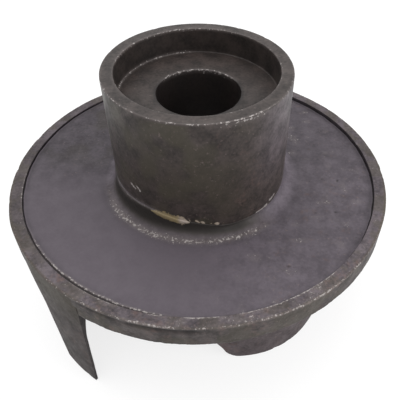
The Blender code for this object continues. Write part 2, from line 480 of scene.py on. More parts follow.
def lattice_noise(points, cell, seed):
    """Smooth noise between -1 and 1.

    Every corner of a cubic lattice holds a random value. The value at a point is the blend of its cell's
    eight corners, weighted along each axis by an S-shaped cubic of the distance. The random values are a
    hash of the corner and the seed, so they are the same in each run.
    """
    scaled = points / cell
    corner = np.floor(scaled).astype(np.int64)
    within = scaled - corner
    within = within * within * (3.0 - 2.0 * within)
    total = np.zeros(points.shape[:-1])
    for dx in (0, 1):
        for dy in (0, 1):
            for dz in (0, 1):
                key = (corner[..., 0] + dx) * 73856093 ^ (corner[..., 1] + dy) * 19349663
                key = key ^ (corner[..., 2] + dz) * 83492791 ^ seed * 2654435761
                key = (key ^ (key >> 13)) * 1274126177 & 0xFFFFFFFF
                key = (key ^ (key >> 15)) * 2246822519 & 0xFFFFFFFF
                value = (key & 0xFFFF) / 32767.5 - 1.0
                weight = np.abs(1 - dx - within[..., 0]) * np.abs(1 - dy - within[..., 1])
                total += value * weight * np.abs(1 - dz - within[..., 2])
    return total


def layered_noise(points, cell, seed, layers=2, fade=0.5):
    """Lattice noise in layers, each half the cell size and a given share of the height of the last."""
    total, height, most = 0.0, 1.0, 0.0
    for layer in range(layers):
        total = total + height * lattice_noise(points, cell / 2**layer, seed + 17 * layer)
        most += height
        height *= fade
    return total / most


def patches(points, cell, seed, low=0.42, high=0.62):
    """Soft patches between 0 and 1 with clear ground between them."""
    return smoothstep(low, high, 0.5 + 0.5 * layered_noise(points, cell, seed))


def sparse_spots(points, cell, seed, share):
    """Spots between 0 and 1 where lattice noise is in its highest share, such as pits and chips."""
    noise = 0.5 + 0.5 * lattice_noise(points, cell, seed)
    return smoothstep(1.0 - share, 1.0 - 0.35 * share, noise)


def pore_mask(points, pores):
    """1 in the middle of each pore, given as its centre and radius, and 0 past its radius."""
    mask = np.zeros(points.shape[:-1])
    for centre, radius in pores:
        away = np.linalg.norm(points - np.array(centre), axis=-1)
        mask = np.maximum(mask, 1.0 - smoothstep(0.35 * radius, radius, away))
    return mask


def cast_relief(points, seed):
    """Height of a sand-cast skin: broad waves, a grain of about a millimetre and scattered pits."""
    waves = 0.09 * MM * layered_noise(points, 9.0 * MM, seed)
    grain = 0.05 * MM * layered_noise(points, 1.7 * MM, seed + 5)
    pits = -0.22 * MM * sparse_spots(points, 2.3 * MM, seed + 9, 0.14)
    return waves + grain + pits


def turned_relief(points, seed):
    """Height of a turned face: barely waved, with a few small pores."""
    pores = -0.14 * MM * sparse_spots(points, 1.5 * MM, seed, 0.08)
    return 0.02 * MM * lattice_noise(points, 5.0 * MM, seed + 3) + pores


def grid_normals(points, wrap_rows=True):
    """Unit normals of a grid of points: the cross product of its row and column tangents.

    Columns always close on themselves. Rows close too, unless told not to.
    """
    across = np.roll(points, -1, 1) - np.roll(points, 1, 1)
    if wrap_rows:
        along = np.roll(points, -1, 0) - np.roll(points, 1, 0)
    else:
        along = np.gradient(points, axis=0)
    normal = np.cross(along, across)
    return normal / np.maximum(np.linalg.norm(normal, axis=-1, keepdims=True), 1e-15)


def build_mesh_piece(name, points, faces, masks, grid_shape):
    """Put points, faces and named point masks into a new smooth-shaded mesh object.

    Masks are given for the grid of the piece's points. Points after the grid belong to its two end caps,
    and take the mean of the first or last row.
    """
    mesh = bpy.data.meshes.new(name)
    corner_counts = np.concatenate([np.full(len(f), f.shape[1]) for f in faces])
    corners = np.concatenate([f.reshape(-1) for f in faces])
    mesh.vertices.add(len(points))
    mesh.vertices.foreach_set("co", points.astype(np.float32).reshape(-1))
    mesh.loops.add(len(corners))
    mesh.loops.foreach_set("vertex_index", corners.astype(np.int32))
    mesh.polygons.add(len(corner_counts))
    starts = np.concatenate([[0], np.cumsum(corner_counts)[:-1]])
    mesh.polygons.foreach_set("loop_start", starts.astype(np.int32))
    mesh.polygons.foreach_set("loop_total", corner_counts.astype(np.int32))
    mesh.update(calc_edges=True)
    mesh.validate()
    for mask_name in MASK_NAMES:
        values = np.broadcast_to(masks[mask_name], grid_shape).astype(float).reshape(-1)
        if len(values) < len(points):
            ends = values.reshape(grid_shape)[[0, -1]].mean(1)
            values = np.concatenate([values, np.repeat(ends, (len(points) - len(values)) // 2)])
        layer = mesh.attributes.new(mask_name, "FLOAT", "POINT")
        layer.data.foreach_set("value", np.clip(values, 0.0, 1.0).astype(np.float32))
    mesh.shade_smooth()
    piece = bpy.data.objects.new(name, mesh)
    bpy.context.scene.collection.objects.link(piece)
    return piece


def ring_faces(rows, columns):
    """Quads of a grid that closes on itself both ways, facing along row tangent cross column tangent."""
    index = np.arange(rows * columns).reshape(rows, columns)
    down = np.roll(index, -1, 0)
    quads = np.stack([index, down, np.roll(down, -1, 1), np.roll(index, -1, 1)], -1)
    return quads.reshape(-1, 4)


def rounded_profile(corners, pitch):
    """Sample a closed half section with rounded corners.

    Each corner is (r, z, rounding, pitch factor). A rounding replaces the corner by a quadratic curve that
    touches both runs. The straight runs are sampled at the pitch times the factor of the corner they start
    from. Returns r and z of each row and the run that it lies on, as columns: corner k is k - 0.5 and the
    run after it is k.
    """
    count = len(corners)
    place = np.array([c[:2] for c in corners])
    rows, runs = [], []
    entry, leave = [], []
    for k in range(count):
        before = place[k - 1] - place[k]
        after = place[(k + 1) % count] - place[k]
        before, after = before / np.linalg.norm(before), after / np.linalg.norm(after)
        half = 0.5 * math.acos(np.clip(before @ after, -1.0, 1.0))
        reach = corners[k][2] / max(math.tan(half), 1e-6)
        entry.append(place[k] + before * reach)
        leave.append(place[k] + after * reach)
    for k in range(count):
        turn = np.linspace(0.0, 1.0, CURVE_POINTS if corners[k][2] > 0 else 1)[:, None]
        rows.append((1 - turn) ** 2 * entry[k] + 2 * turn * (1 - turn) * place[k] + turn**2 * leave[k])
        runs.append(np.full(len(turn), k - 0.5))
        start, end = leave[k], entry[(k + 1) % count]
        steps = max(int(np.linalg.norm(end - start) / (pitch * corners[k][3])), 1)
        t = np.linspace(0.0, 1.0, steps + 1)[1:-1, None]
        rows.append(start + (end - start) * t)
        runs.append(np.full(len(t), float(k)))
    rows = np.concatenate(rows)
    return rows[:, :1], rows[:, 1:], np.concatenate(runs)[:, None]


def towards(direction):
    """Unit vector in plan in a direction given in radians."""
    return np.array([math.cos(direction), math.sin(direction)])


def directions(columns):
    """Evenly spaced directions round the axis, in radians."""
    return np.arange(columns) * 2.0 * math.pi / columns


class SpunSurface:
    """A closed half section spun round the axis, as a grid with a row for each point of the section.

    Each point is (r cos theta, r sin theta, z), where r has the bulge added and z the drop taken off, and
    relief then moves it along the normal. The radius and height that masks read stay as they were given.
    """

    def __init__(self, radius, height, theta, bulge=0.0, drop=0.0):
        self.radius, self.height = radius, height
        self.theta = np.broadcast_to(theta, (len(radius), len(theta)))
        r = radius + bulge
        z = height - drop + 0.0 * self.theta
        self.points = np.stack([r * np.cos(self.theta), r * np.sin(self.theta), z], -1)

    def arc(self, start, end, soft):
        """1 between two directions in degrees and 0 outside, with soft ends."""
        return arc_mask(self.theta, start, end, soft)

    def edge(self, radius, height, reach):
        """1 on a circular edge, falling off as a bell with the distance from it in the half section."""
        return np.exp(-((self.radius - radius) ** 2 + (self.height - height) ** 2) / reach**2)

    def add_relief(self, relief):
        """Move every point along its normal."""
        self.points = self.points + grid_normals(self.points) * relief[..., None]

    def build(self, name, masks):
        """The surface as a mesh object with its point masks."""
        grid_shape = self.theta.shape
        faces = [ring_faces(*grid_shape)]
        return build_mesh_piece(name, self.points.reshape(-1, 3), faces, masks, grid_shape)


def machined_edge_height(theta):
    """Height above the lip's top at which the turned hub wall ends, by direction.

    The turning ran deeper at the front than on the left, so the edge drops from about 7.5 to 1 mm, and it
    lifts again a little on the right.
    """
    high_side = 0.5 * (1.0 + np.tanh(3.0 * np.cos(theta - math.radians(-182.0))))
    right_lift = 2.0 * arc_bell(theta, -8.0, 30.0)
    ripple = 0.25 * np.sin(5.0 * theta + 0.6) + 0.18 * np.sin(11.0 * theta)
    return (1.1 + 6.4 * high_side + right_lift + ripple) * MM


def residue_field(theta, above_edge):
    """Dried residue along the machined edge: a patch, crumbs to its right and a trace to its left.

    The patch's half height follows the direction. Its field falls from 1 on the middle line to 0.5 on the
    border, where the material ends it. The crumbs are a weaker, lumpy field, which the material breaks into
    small pieces, and the trace is a weak field in a thin strip.
    """
    waves = 1.0 + 0.22 * np.sin(np.radians(angle_from(theta, 0)) * 16.0)
    half_height = 1.75 * arc_mask(theta, -121.0, -99.5, 3.0) * waves
    half_height = half_height * MM
    middle = (-0.2 - 0.5 * arc_mask(theta, -128.0, -112.0, 6.0)) * MM
    away = np.abs(above_edge - middle)
    least = 0.1 * MM
    patch = np.clip(1.0 - 0.5 * away / np.maximum(half_height, least), 0.0, 1.0) * (half_height > least)
    lumps = 0.55 + 0.45 * np.sin(61.0 * theta) * np.sin(26.0 * theta + 0.8)
    crumbs = 0.95 * lumps * arc_mask(theta, -102.0, -75.0, 3.0) * bell(above_edge, 0.8 * MM, 1.0 * MM)
    trace = 0.42 * arc_mask(theta, -152.0, -121.0, 5.0) * bell(above_edge, 0.3 * MM, 0.9 * MM)
    return strongest(patch, crumbs, trace)


def film_strip(theta, above_edge):
    """1 on the thin oily film along the machined edge on the left, wider and lower towards the far left."""
    left = arc_mask(theta, -170.0, -140.0, 8.0)
    across = bell(above_edge, (0.1 - 0.7 * left) * MM, (0.9 + 0.6 * left) * MM)
    return arc_mask(theta, -160.0, -118.0, 5.0) * across


def scratch_mask(sizes, theta, height):
    """1 along each bright scratch on the hub's wall, by the distance from the line between its ends."""
    mask = 0.0 * theta
    for start, start_level, end, end_level in HUB_SCRATCHES:
        along = np.clip(angle_from(theta, start) / (end - start), 0.0, 1.0)
        aside = angle_from(theta, start) - along * (end - start)
        across = height - (start_level + along * (end_level - start_level)) * MM
        away = np.hypot(np.radians(aside) * sizes.hub_radius, across)
        mask = np.maximum(mask, 1.0 - smoothstep(0.20 * MM, 0.65 * MM, away))
    return mask


def hub_wear(hub, sizes, on_wall, scratches, film):
    """Where the hub is rubbed: its edges, most on one arc at the front, its scratches and the oily film."""
    top = sizes.hub_top
    floor = top - sizes.counterbore_depth
    near_side = hub.arc(-165.0, -10.0, 20.0)
    worn_arc = hub.arc(-80.0, -48.0, 10.0)
    below_end = bell(top - hub.height, 0.7 * MM, 1.5 * MM) * on_wall
    inner_edge = hub.edge(sizes.counterbore_radius, top, 0.6 * MM)
    return strongest(
        hub.edge(sizes.hub_radius, top, 0.42 * MM) * (0.32 + 0.18 * near_side + 0.22 * worn_arc),
        below_end * worn_arc * 0.40,
        inner_edge * (0.22 + 0.22 * hub.arc(60.0, 170.0, 20.0)),
        hub.edge(sizes.counterbore_radius, floor, 0.7 * MM) * 0.42 * hub.arc(95.0, 200.0, 12.0),
        hub.edge(sizes.bore_radius, floor, 0.7 * MM) * 0.50 * hub.arc(30.0, 150.0, 15.0),
        2.0 * scratches,
        FILM_WEAR * film,
    )


def hub_tone_and_shading(hub, parts, sheen_on_right, film):
    """Brightness of the hub, with noise.

    It is lighter on the film, on its end and at the back of its floor. A painted sheen lightens the right of
    its wall, and painted shade darkens the left of its wall and end and the inside of the counterbore.
    """
    on_floor, in_counterbore, on_end, on_wall = parts
    wall_tone_and_shading = (
        0.20 * sheen_on_right
        + 0.12 * hub.arc(-64.0, 40.0, 10.0)
        + 0.20 * layered_noise(hub.points, 4.0 * MM, 37, 4, 0.75)
        - 0.03
        + 0.5 * film
        - 0.10 * hub.arc(150.0, 215.0, 20.0)
    )
    return (
        0.5
        + on_wall * wall_tone_and_shading
        + on_end * (0.10 - 0.12 * hub.arc(130.0, 230.0, 25.0))
        - 0.27 * in_counterbore
        - on_floor * (0.03 - 0.12 * hub.arc(45.0, 135.0, 25.0))
        + 0.07 * (1.0 - on_wall) * layered_noise(hub.points, 4.0 * MM, 39, 3, 0.7)
    )


def make_hub(sizes):
    """The turned hub: bore, counterbore floor and wall, end face and outer wall.

    The half section runs up the bore, out over the floor, up the counterbore, over the end and down the
    wall, and closes inside the metal. Points = half section spun round the axis, plus relief along the
    normal: a turned skin, dents along the edges, pores, scratches and the dried residue.
    """
    top = sizes.hub_top
    floor = top - sizes.counterbore_depth
    low = sizes.lip_top - HUB_ROOT_DEPTH
    corners = [
        (sizes.bore_radius, low, 0.0, 3.0),
        (sizes.bore_radius, floor, 0.40 * MM, 1.5),
        (sizes.counterbore_radius, floor, 0.45 * MM, 1.5),
        (sizes.counterbore_radius, top, 0.35 * MM, 0.9),
        (sizes.hub_radius, top, 0.45 * MM, 1.0),
        (sizes.hub_radius, low, 0.0, 8.0),
    ]
    radius, height, run = rounded_profile(corners, HUB_PITCH)
    hub = SpunSurface(radius, height, directions(HUB_COLUMNS))
    parts = [(run == part) * 1.0 for part in (1, 2, 3, 4)]
    on_floor, _, on_end, on_wall = parts
    in_bore = run < 0.6

    above_edge = height - sizes.lip_top - machined_edge_height(hub.theta)
    residue = residue_field(hub.theta, above_edge) * on_wall
    film = film_strip(hub.theta, above_edge) * on_wall
    scratches = scratch_mask(sizes, hub.theta, height) * on_wall
    pore_places = []
    for direction, level, size in HUB_PORES:
        x, y = sizes.hub_radius * towards(math.radians(direction))
        pore_places.append(((x, y, level * MM), size * MM))
    pores = pore_mask(hub.points, pore_places)
    outer_edge = hub.edge(sizes.hub_radius, top, 0.75 * MM)
    inner_edge = hub.edge(sizes.counterbore_radius, top, 0.6 * MM)
    bore_edge = hub.edge(sizes.bore_radius, floor, 0.7 * MM)
    dents = sparse_spots(hub.points, 2.4 * MM, 23, 0.3)
    hub.add_relief(
        turned_relief(hub.points, 11)
        - 0.16 * MM * (outer_edge + 0.6 * inner_edge + 0.5 * bore_edge) * dents
        - 0.30 * MM * pores
        - 0.08 * MM * scratches
        + RESIDUE_HEIGHT * smoothstep(0.45, 0.75, residue)
    )

    # Painted sheen: the right of the wall is made lighter, in its tone and, high up, by showing more of the
    # paler cast colour.
    sheen_on_right = hub.arc(-52.0, 40.0, 16.0)
    sheen_high_on_wall = on_wall * sheen_on_right * smoothstep(6.0 * MM, 30.0 * MM, above_edge)
    edge_shade = on_wall * bell(above_edge, 0.0, 2.2 * MM) * hub.arc(-170.0, -60.0, 15.0)
    front_right = 0.35 + 0.65 * hub.arc(-92.0, -38.0, 15.0)
    olive_patches = patches(hub.points, 9.0 * MM, 29, 0.40, 0.65)
    masks = {
        # Less turned colour on the upper right of the wall paints a sheen there.
        "turned": 1.0 - 0.45 * sheen_high_on_wall - 0.60 * film,
        "tone": hub_tone_and_shading(hub, parts, sheen_on_right, film),
        "mottle": 1.0,
        "speck": 0.22 * on_floor + 0.20 * on_end + 0.23 * on_wall,
        "olive": 0.8 * on_wall * hub.arc(175.0, 285.0, 30.0) * olive_patches + FILM_OLIVE * film,
        "rust": 0.50 * on_wall * front_right * patches(hub.points, 5.0 * MM, 41, 0.36, 0.66)
        + 0.40 * on_floor * patches(hub.points, 5.0 * MM, 43, 0.5, 0.75),
        # Painted shade in the bore and along the foot of the wall on the left and front, and dark pores.
        "shade_and_grime": 0.7 * in_bore + 0.22 * edge_shade + 0.85 * pores,
        "residue": residue,
        "pale": residue * hub.arc(*PALE_RESIDUE_ARC),
        "wear_and_highlight": hub_wear(hub, sizes, on_wall, scratches, film),
    }
    return hub.build("hub", masks)


def foot_section(sizes, theta, share):
    """Radius and height of the hub's cast foot, from the turned wall (share 0) to the plate (share 1).

    A small step stands out from the turned wall. Below it the foot swings out to the plate: its radius
    grows with a power of the share and its height falls with another, so that it is tall and hollow on
    the left and a low wide fillet on the right.
    """
    edge = machined_edge_height(theta) + sizes.lip_top
    plate = sizes.lip_top - sizes.face_recess
    tall = 0.5 * (1.0 + np.tanh(3.0 * np.cos(theta - math.radians(-172.0))))
    right = arc_mask(theta, -55.0, 40.0, 20.0)
    spread = (5.0 + 0.25 * np.sin(2.0 * theta + 1.0) - 0.4 * tall + 0.9 * right) * MM
    step = (0.22 + 0.33 * arc_mask(theta, -170.0, -118.0, 8.0)) * MM
    radius = sizes.hub_radius + step + (spread - step) * share ** (1.5 + 1.3 * tall)
    fall = 1.0 - (1.0 - share) ** (1.25 + 0.35 * tall + 0.5 * right)
    height = edge + (plate - edge) * fall
    return radius, height


def groove_edge_radius(sizes, theta):
    """Radius at which the turned groove inside the lip begins, by direction.

    The groove is a ragged hairline that opens to a ring about 1.5 mm wide on the front left.
    """
    ragged = 0.10 * np.sin(23.0 * theta) * np.sin(9.0 * theta + 1.0) + 0.06 * np.sin(51.0 * theta)
    width = (0.38 + ragged + 1.15 * arc_bell(theta, -122.0, 24.0)) * MM
    return sizes.rim_radius - sizes.lip_width - width


def plate_upper_rows(sizes, theta):
    """Radius and height of the plate's upper rows: inside the hub, on its foot, on the face, in the groove.

    The face runs straight from the foot to the groove and lifts a little on the far left. The groove drops
    to its depth in its first third and ends inside the rim.
    """
    plate = sizes.lip_top - sizes.face_recess
    lip_foot = sizes.rim_radius - sizes.lip_width
    foot_radius, foot_height = foot_section(sizes, theta, np.linspace(0.0, 1.0, FOOT_ROWS)[:, None])
    inside_radius = np.stack([foot_radius[0] - 1.6 * MM, foot_radius[0] - 0.6 * MM])
    inside_height = np.stack([foot_height[0] - 0.15 * MM, foot_height[0] + 0.02 * MM])
    groove_edge = groove_edge_radius(sizes, theta)
    groove_radius = groove_edge + (lip_foot - groove_edge) * GROOVE_SHARES
    face_share = np.linspace(0.0, 1.0, FACE_STEPS + 1)[1:-1, None]
    face_radius = foot_radius[-1] + (groove_radius[0] - foot_radius[-1]) * face_share
    left_lift = LEFT_LIFT * arc_mask(theta, 118.0, 222.0, 18.0)
    lifted = smoothstep(sizes.rim_radius - 22.0 * MM, lip_foot - 1.0 * MM, face_radius)
    groove_drop = GROOVE_DEPTH * smoothstep(0.0, 0.35, GROOVE_SHARES) + 0.0 * theta
    return [
        (inside_radius, inside_height),
        (foot_radius, foot_height),
        (face_radius, plate + left_lift * lifted),
        (groove_radius, plate + left_lift - groove_drop),
    ]


def plate_lower_section(sizes):
    """Half section of the plate's hidden side: inside the rim, the underside, the nose boss and the bore."""
    plate = sizes.lip_top - sizes.face_recess
    under = sizes.lip_top - sizes.plate_thickness
    nose = under - sizes.nose_height
    lip_foot = sizes.rim_radius - sizes.lip_width
    bore = sizes.bore_radius + 0.03 * MM
    corners = [
        (lip_foot + 2.2 * MM, plate - 2.4 * MM, 0.0, 3.0),
        (sizes.rim_radius - 2.2 * MM, under + 1.0 * MM, 0.0, 2.0),
        (sizes.rim_radius - 4.4 * MM, under, 0.0, 2.3),
        (sizes.nose_radius + 0.4 * MM, under, 4.4 * MM, 1.9),
        (sizes.nose_face_radius, nose, 0.9 * MM, 1.8),
        (bore, nose, 0.5 * MM, 3.0),
        (bore, sizes.lip_top - 1.0 * MM, 0.0, 6.0),
        (sizes.hub_radius - 2.4 * MM, plate + 1.0 * MM, 0.0, 50.0),
    ]
    return rounded_profile(corners, PLATE_PITCH)


def plate_tone_and_shading(back, sizes, on_foot, on_face, foot_share, shaded_halo, uneven, front_left):
    """Brightness of the plate, with noise.

    It is darker at the back and lighter in front. Painted shade darkens it round the foot and along the
    groove, and painted light lightens the fillet at the right of the hub.
    """
    groove_edge = groove_edge_radius(sizes, back.theta)
    lit_right_fillet = bell(foot_share, 0.55, 0.35) * on_foot * back.arc(-62.0, 30.0, 12.0)
    front = back.arc(-140.0, -55.0, 20.0)
    behind = back.arc(100.0, 178.0, 16.0) + 0.6 * back.arc(4.0, 95.0, 12.0)
    shade_beside_groove = bell(back.radius, groove_edge - 0.6 * MM, 1.2 * MM) * on_face
    shade_beside_groove = shade_beside_groove * (1.0 - back.arc(-112.0, -40.0, 12.0))
    ragged = 1.0 + layered_noise(back.points, 3.0 * MM, 87)
    drift = layered_noise(back.points, 3.6 * MM, 63, 3, 0.8)
    return (
        0.5
        - 0.20 * shaded_halo
        + 0.14 * on_foot * front_left * smoothstep(0.62, 0.92, foot_share)
        + 0.30 * lit_right_fillet
        + on_face * (0.09 * front - 0.36 * behind - 0.18 * shade_beside_groove * ragged)
        + (0.01 + 0.12 * uneven + 0.06 * on_foot) * drift
    )


def make_back_plate(sizes):
    """The back plate with the hub's cast foot, its underside and the nose boss.

    Rows run from inside the hub out over the foot's step, down the foot, across the plate's face to the
    groove at the foot of the lip, inside the rim to the underside, in to the nose boss and up the bore.
    The upper rows change with direction, and the lower ones are a half section spun round the axis. Cast
    relief along the normal, a ragged shoulder round the foot, residue and pores come on top.
    """
    theta = directions(PLATE_COLUMNS)
    upper = plate_upper_rows(sizes, theta[None, :])
    under_radius, under_height, under_run = plate_lower_section(sizes)
    all_round = np.ones_like(theta)[None, :]
    back = SpunSurface(
        np.concatenate([radius for radius, _ in upper] + [under_radius * all_round]),
        np.concatenate([height for _, height in upper] + [under_height * all_round]),
        theta,
    )
    foot_start, face_start, groove_start, under_start = np.cumsum([len(radius) for radius, _ in upper])
    row = np.arange(len(back.radius))[:, None]
    on_foot = (row >= foot_start) & (row < face_start)
    on_face = (row >= face_start) & (row < groove_start)
    in_groove = (row > groove_start) & (row < under_start)
    on_nose = np.concatenate([np.zeros((under_start, 1)), (under_run > 2.6) * (under_run < 5.4)])
    foot_share = np.clip((row - foot_start) / (FOOT_ROWS - 1.0), 0.0, 1.0)
    above_edge = back.height - back.height[foot_start]
    from_foot = back.radius - back.radius[face_start - 1]

    right_side = back.arc(-82.0, 100.0, 25.0)
    far_left = back.arc(110.0, 180.0, 18.0)
    front_left = back.arc(-172.0, -48.0, 8.0)
    shoulder = bell(from_foot, -0.2 * MM, 1.5 * MM) * (row < groove_start) * front_left
    residue = residue_field(back.theta, above_edge) * on_foot * (foot_share < 0.5)
    film = film_strip(back.theta, above_edge) * on_foot
    plate = sizes.lip_top - sizes.face_recess
    pores = pore_mask(back.points, [((x * MM, y * MM, plate), size * MM) for x, y, size in PLATE_PORES])
    roughness = np.where(on_face, 0.12 + 0.75 * np.maximum(right_side, 0.7 * far_left), 0.8)
    relief = (
        cast_relief(back.points, 41) * roughness
        + shoulder * (0.18 + 0.42 * layered_noise(back.points, 1.3 * MM, 47)) * MM
        + RESIDUE_HEIGHT * smoothstep(0.45, 0.75, residue)
        - 0.35 * MM * pores * on_face
    )
    back.add_relief(np.where(row < foot_start, 0.0, relief))

    points = back.points
    groove_rim = bell(back.radius, groove_edge_radius(sizes, back.theta) - 0.12 * MM, 0.38 * MM)
    groove_rim = groove_rim * (row >= groove_start - 2) * (row < under_start)
    shoulder_wear = 0.14 + 0.34 * back.arc(-156.0, -55.0, 10.0) + 0.20 * layered_noise(points, 2.5 * MM, 59)
    # The hollow of the foot at the left and front is dark: painted shade with grime and olive film.
    hollow = (1.0 - smoothstep(0.40, 0.80, foot_share)) * on_foot * back.arc(-172.0, -58.0, 10.0)
    hollow = hollow * (1.0 - film)
    # A darker ring round the foot at the front left: painted shade, with some rust.
    shaded_halo = bell(from_foot, 1.3 * MM, 1.5 * MM) * on_face * front_left
    uneven = np.maximum(right_side, far_left) * on_face
    from_patch = np.hypot(points[..., 0] - BROWN_PATCH_X, points[..., 1] - BROWN_PATCH_Y)
    brown = bell(from_patch, 0.0, BROWN_PATCH_RADIUS) * on_face
    olive_patches = patches(points, 9.0 * MM, 65, 0.4, 0.65)
    masks = {
        "turned": 0.45 * on_foot * front_left * (1.0 - film) + 0.5 * in_groove + 0.35 * on_nose,
        "tone": plate_tone_and_shading(back, sizes, on_foot, on_face, foot_share, shaded_halo, uneven, front_left),
        "mottle": 0.05 + 0.42 * uneven + 0.55 * (row >= under_start) + 0.4 * on_foot,
        "speck": 0.03 + 0.20 * uneven + 0.30 * on_foot * front_left * smoothstep(0.5, 0.9, foot_share),
        "olive": 0.8 * hollow
        + 0.5 * on_face * back.arc(90.0, 165.0, 15.0) * olive_patches
        + FILM_OLIVE * film,
        "rust": 0.50 * on_face * right_side * patches(points, 5.0 * MM, 67, 0.5, 0.75)
        + 0.45 * shaded_halo
        + 0.6 * brown * (0.6 + 0.4 * layered_noise(points, 4.0 * MM, 69)),
        # Painted shade and grime in the foot's hollow, painted shade in the groove, most away from the
        # front, and dark pores.
        "shade_and_grime": 0.80 * hollow
        + in_groove * (0.35 + 0.30 * (1.0 - back.arc(-100.0, -40.0, 12.0)))
        + 0.9 * pores * on_face,
        "residue": residue,
        "pale": residue * back.arc(*PALE_RESIDUE_ARC),
        "wear_and_highlight": strongest(
            shoulder * shoulder_wear,
            groove_rim * back.arc(-152.0, -100.0, 10.0) * 0.56,
            0.22 * on_face * right_side * patches(points, 4.0 * MM, 61, 0.62, 0.8),
            FILM_WEAR * film,
        ),
    }
    return back.build("back_plate", masks)


def make_rim(sizes):
    """The rim: the lip's inner wall and top, the outer side and a strip of the underside.

    Points = half section spun round the axis, plus cast relief along the normal. The outer top edge
    carries chips, the bottom edge is ragged, and two undercuts run below the top edge at the front.
    """
    top = sizes.lip_top
    under = top - sizes.plate_thickness
    lip_inner = sizes.rim_radius - sizes.lip_width
    side_radius = sizes.rim_radius - RIM_INSET
    corners = [
        (lip_inner, top - sizes.face_recess - 1.2 * MM, 0.0, 0.8),
        (lip_inner, top, 0.18 * MM, 0.9),
        (side_radius, top, 0.40 * MM, 0.9),
        (side_radius, under, 0.7 * MM, 1.0),
        (side_radius - 4.0 * MM, under, 0.0, 1.5),
        (side_radius - 3.8 * MM, under + 2.0 * MM, 0.0, 4.0),
    ]
    radius, height, run = rounded_profile(corners, RIM_PITCH)
    theta = directions(RIM_COLUMNS)
    on_top = np.isin(run, (0.5, 1.0, 1.5)) * 1.0
    on_side = (run >= 1.5) & (run < 3.5)
    on_inner_wall = run < 0.4
    bulge = SIDE_BULGE * sum(share * arc_bell(theta, place, width) for share, place, width in SIDE_BULGES)
    front_drop = FRONT_DROP * arc_mask(theta, -128.0, -76.0, 6.0) * (run > 2.4) * (run < 4.6)
    rim = SpunSurface(radius, height, theta, bulge * on_side, front_drop)

    below_top = top - height
    outer_edge = rim.edge(side_radius, top, 0.75 * MM)
    inner_edge = rim.edge(lip_inner, top, 0.5 * MM)
    bottom_edge = rim.edge(side_radius, under, 1.2 * MM)
    front = rim.arc(-124.0, -40.0, 5.0)
    chips = sparse_spots(rim.points, 2.2 * MM, 67, 0.36)
    undercut = rim.arc(-110.0, -92.0, 3.0) * bell(below_top, 1.9 * MM, 0.8 * MM) * (run > 1.9) * (run < 2.6)
    left_undercut = rim.arc(-123.5, -112.0, 2.0) * bell(below_top, 1.3 * MM, 0.6 * MM)
    left_undercut = left_undercut * (run > 1.4) * (run < 2.6)
    rim.add_relief(
        cast_relief(rim.points, 61) * np.where(on_top > 0, 0.8, 0.5)
        - 0.26 * MM * outer_edge * chips * (0.35 + 0.65 * front)
        + 0.26 * MM * bottom_edge * layered_noise(rim.points, 2.6 * MM, 71, 3, 0.7)
        - 0.60 * MM * undercut
        - 0.30 * MM * left_undercut
    )

    points = rim.points
    # Bright stretches of the outer top edge at the front: wear and a painted highlight.
    bright_front = 0.24 * rim.arc(-113.0, -98.0, 3.0) + 0.14 * rim.arc(-82.0, -52.0, 5.0)
    # The lip's inner edge: rubbed metal, and a painted highlight where it catches the light at the front
    # right.
    rubbed_and_lit_line = sum(strength * rim.arc(*stretch) for strength, *stretch in LIP_EDGE_WEAR_AND_HIGHLIGHT)
    band = on_side * bell(below_top, 0.9 * MM, 1.0 * MM) * rim.arc(-88.0, -52.0, 5.0)
    left_lip = rim.arc(170.0, 215.0, 15.0)
    away_from_front = 1.0 - rim.arc(-112.0, -40.0, 12.0)
    top_tone = 0.14 + 0.22 * rim.arc(-80.0, -20.0, 12.0) + 0.10 * rim.arc(-150.0, -115.0, 10.0)
    top_tone = top_tone - 0.06 * left_lip
    masks = {
        "turned": on_top * (0.42 + 0.22 * left_lip) + 0.92 * on_side,
        "tone": 0.5
        + (0.10 + 0.05 * on_top) * layered_noise(points, 4.0 * MM, 75, 4, 0.75)
        + 0.10 * band
        + 0.06 * on_side * rim.arc(-78.0, 20.0, 12.0)
        + on_top * top_tone,
        "mottle": 1.0,
        "speck": on_top * (0.28 + 0.14 * front) + 0.24 * on_side,
        "olive": 0.5 * on_side * patches(points, 6.0 * MM, 77)
        + 0.45 * on_top * patches(points, 5.0 * MM, 78),
        "rust": (0.45 + 0.20 * front) * patches(points, 4.5 * MM, 79)
        + 0.4 * band
        + 0.5 * rim.arc(-138.0, -126.0, 4.0),
        # Painted shade in the undercuts, on the lip's inner wall, most away from the front, and along the
        # bottom edge.
        "shade_and_grime": 0.70 * undercut
        + 0.50 * left_undercut
        + 0.50 * (on_inner_wall * away_from_front)
        + 0.20 * on_inner_wall
        + 0.25 * bottom_edge,
        "residue": 0.0,
        "pale": 0.0,
        "wear_and_highlight": strongest(
            outer_edge * (0.20 + 0.16 * front + bright_front),
            inner_edge * rubbed_and_lit_line,
            0.32 * on_top * (0.4 + 0.6 * front) * patches(points, 3.0 * MM, 73, 0.5, 0.75),
        ),
    }
    return rim.build("rim", masks)


def outer_face_points(distance):
    """Point and outward normal of the vane's outer face at its running edge, for an array of distances.

    The distance runs along the two arcs from the start of the running edge. Each point is the arc's
    centre plus its radius along the normal.
    """
    on_lead = distance < LEAD_ARC_LENGTH
    angle = np.where(
        on_lead,
        RUNNING_EDGE_START + distance / LEAD_ARC_RADIUS,
        ARC_JUNCTION + (distance - LEAD_ARC_LENGTH) / TRAIL_ARC_RADIUS,
    )
    normal = np.stack([np.cos(angle), np.sin(angle)], -1)
    centre = np.where(on_lead[..., None], LEAD_ARC_CENTRE, TRAIL_ARC_CENTRE)
    radius = np.where(on_lead, LEAD_ARC_RADIUS, TRAIL_ARC_RADIUS)[..., None]
    return centre + radius * normal, normal


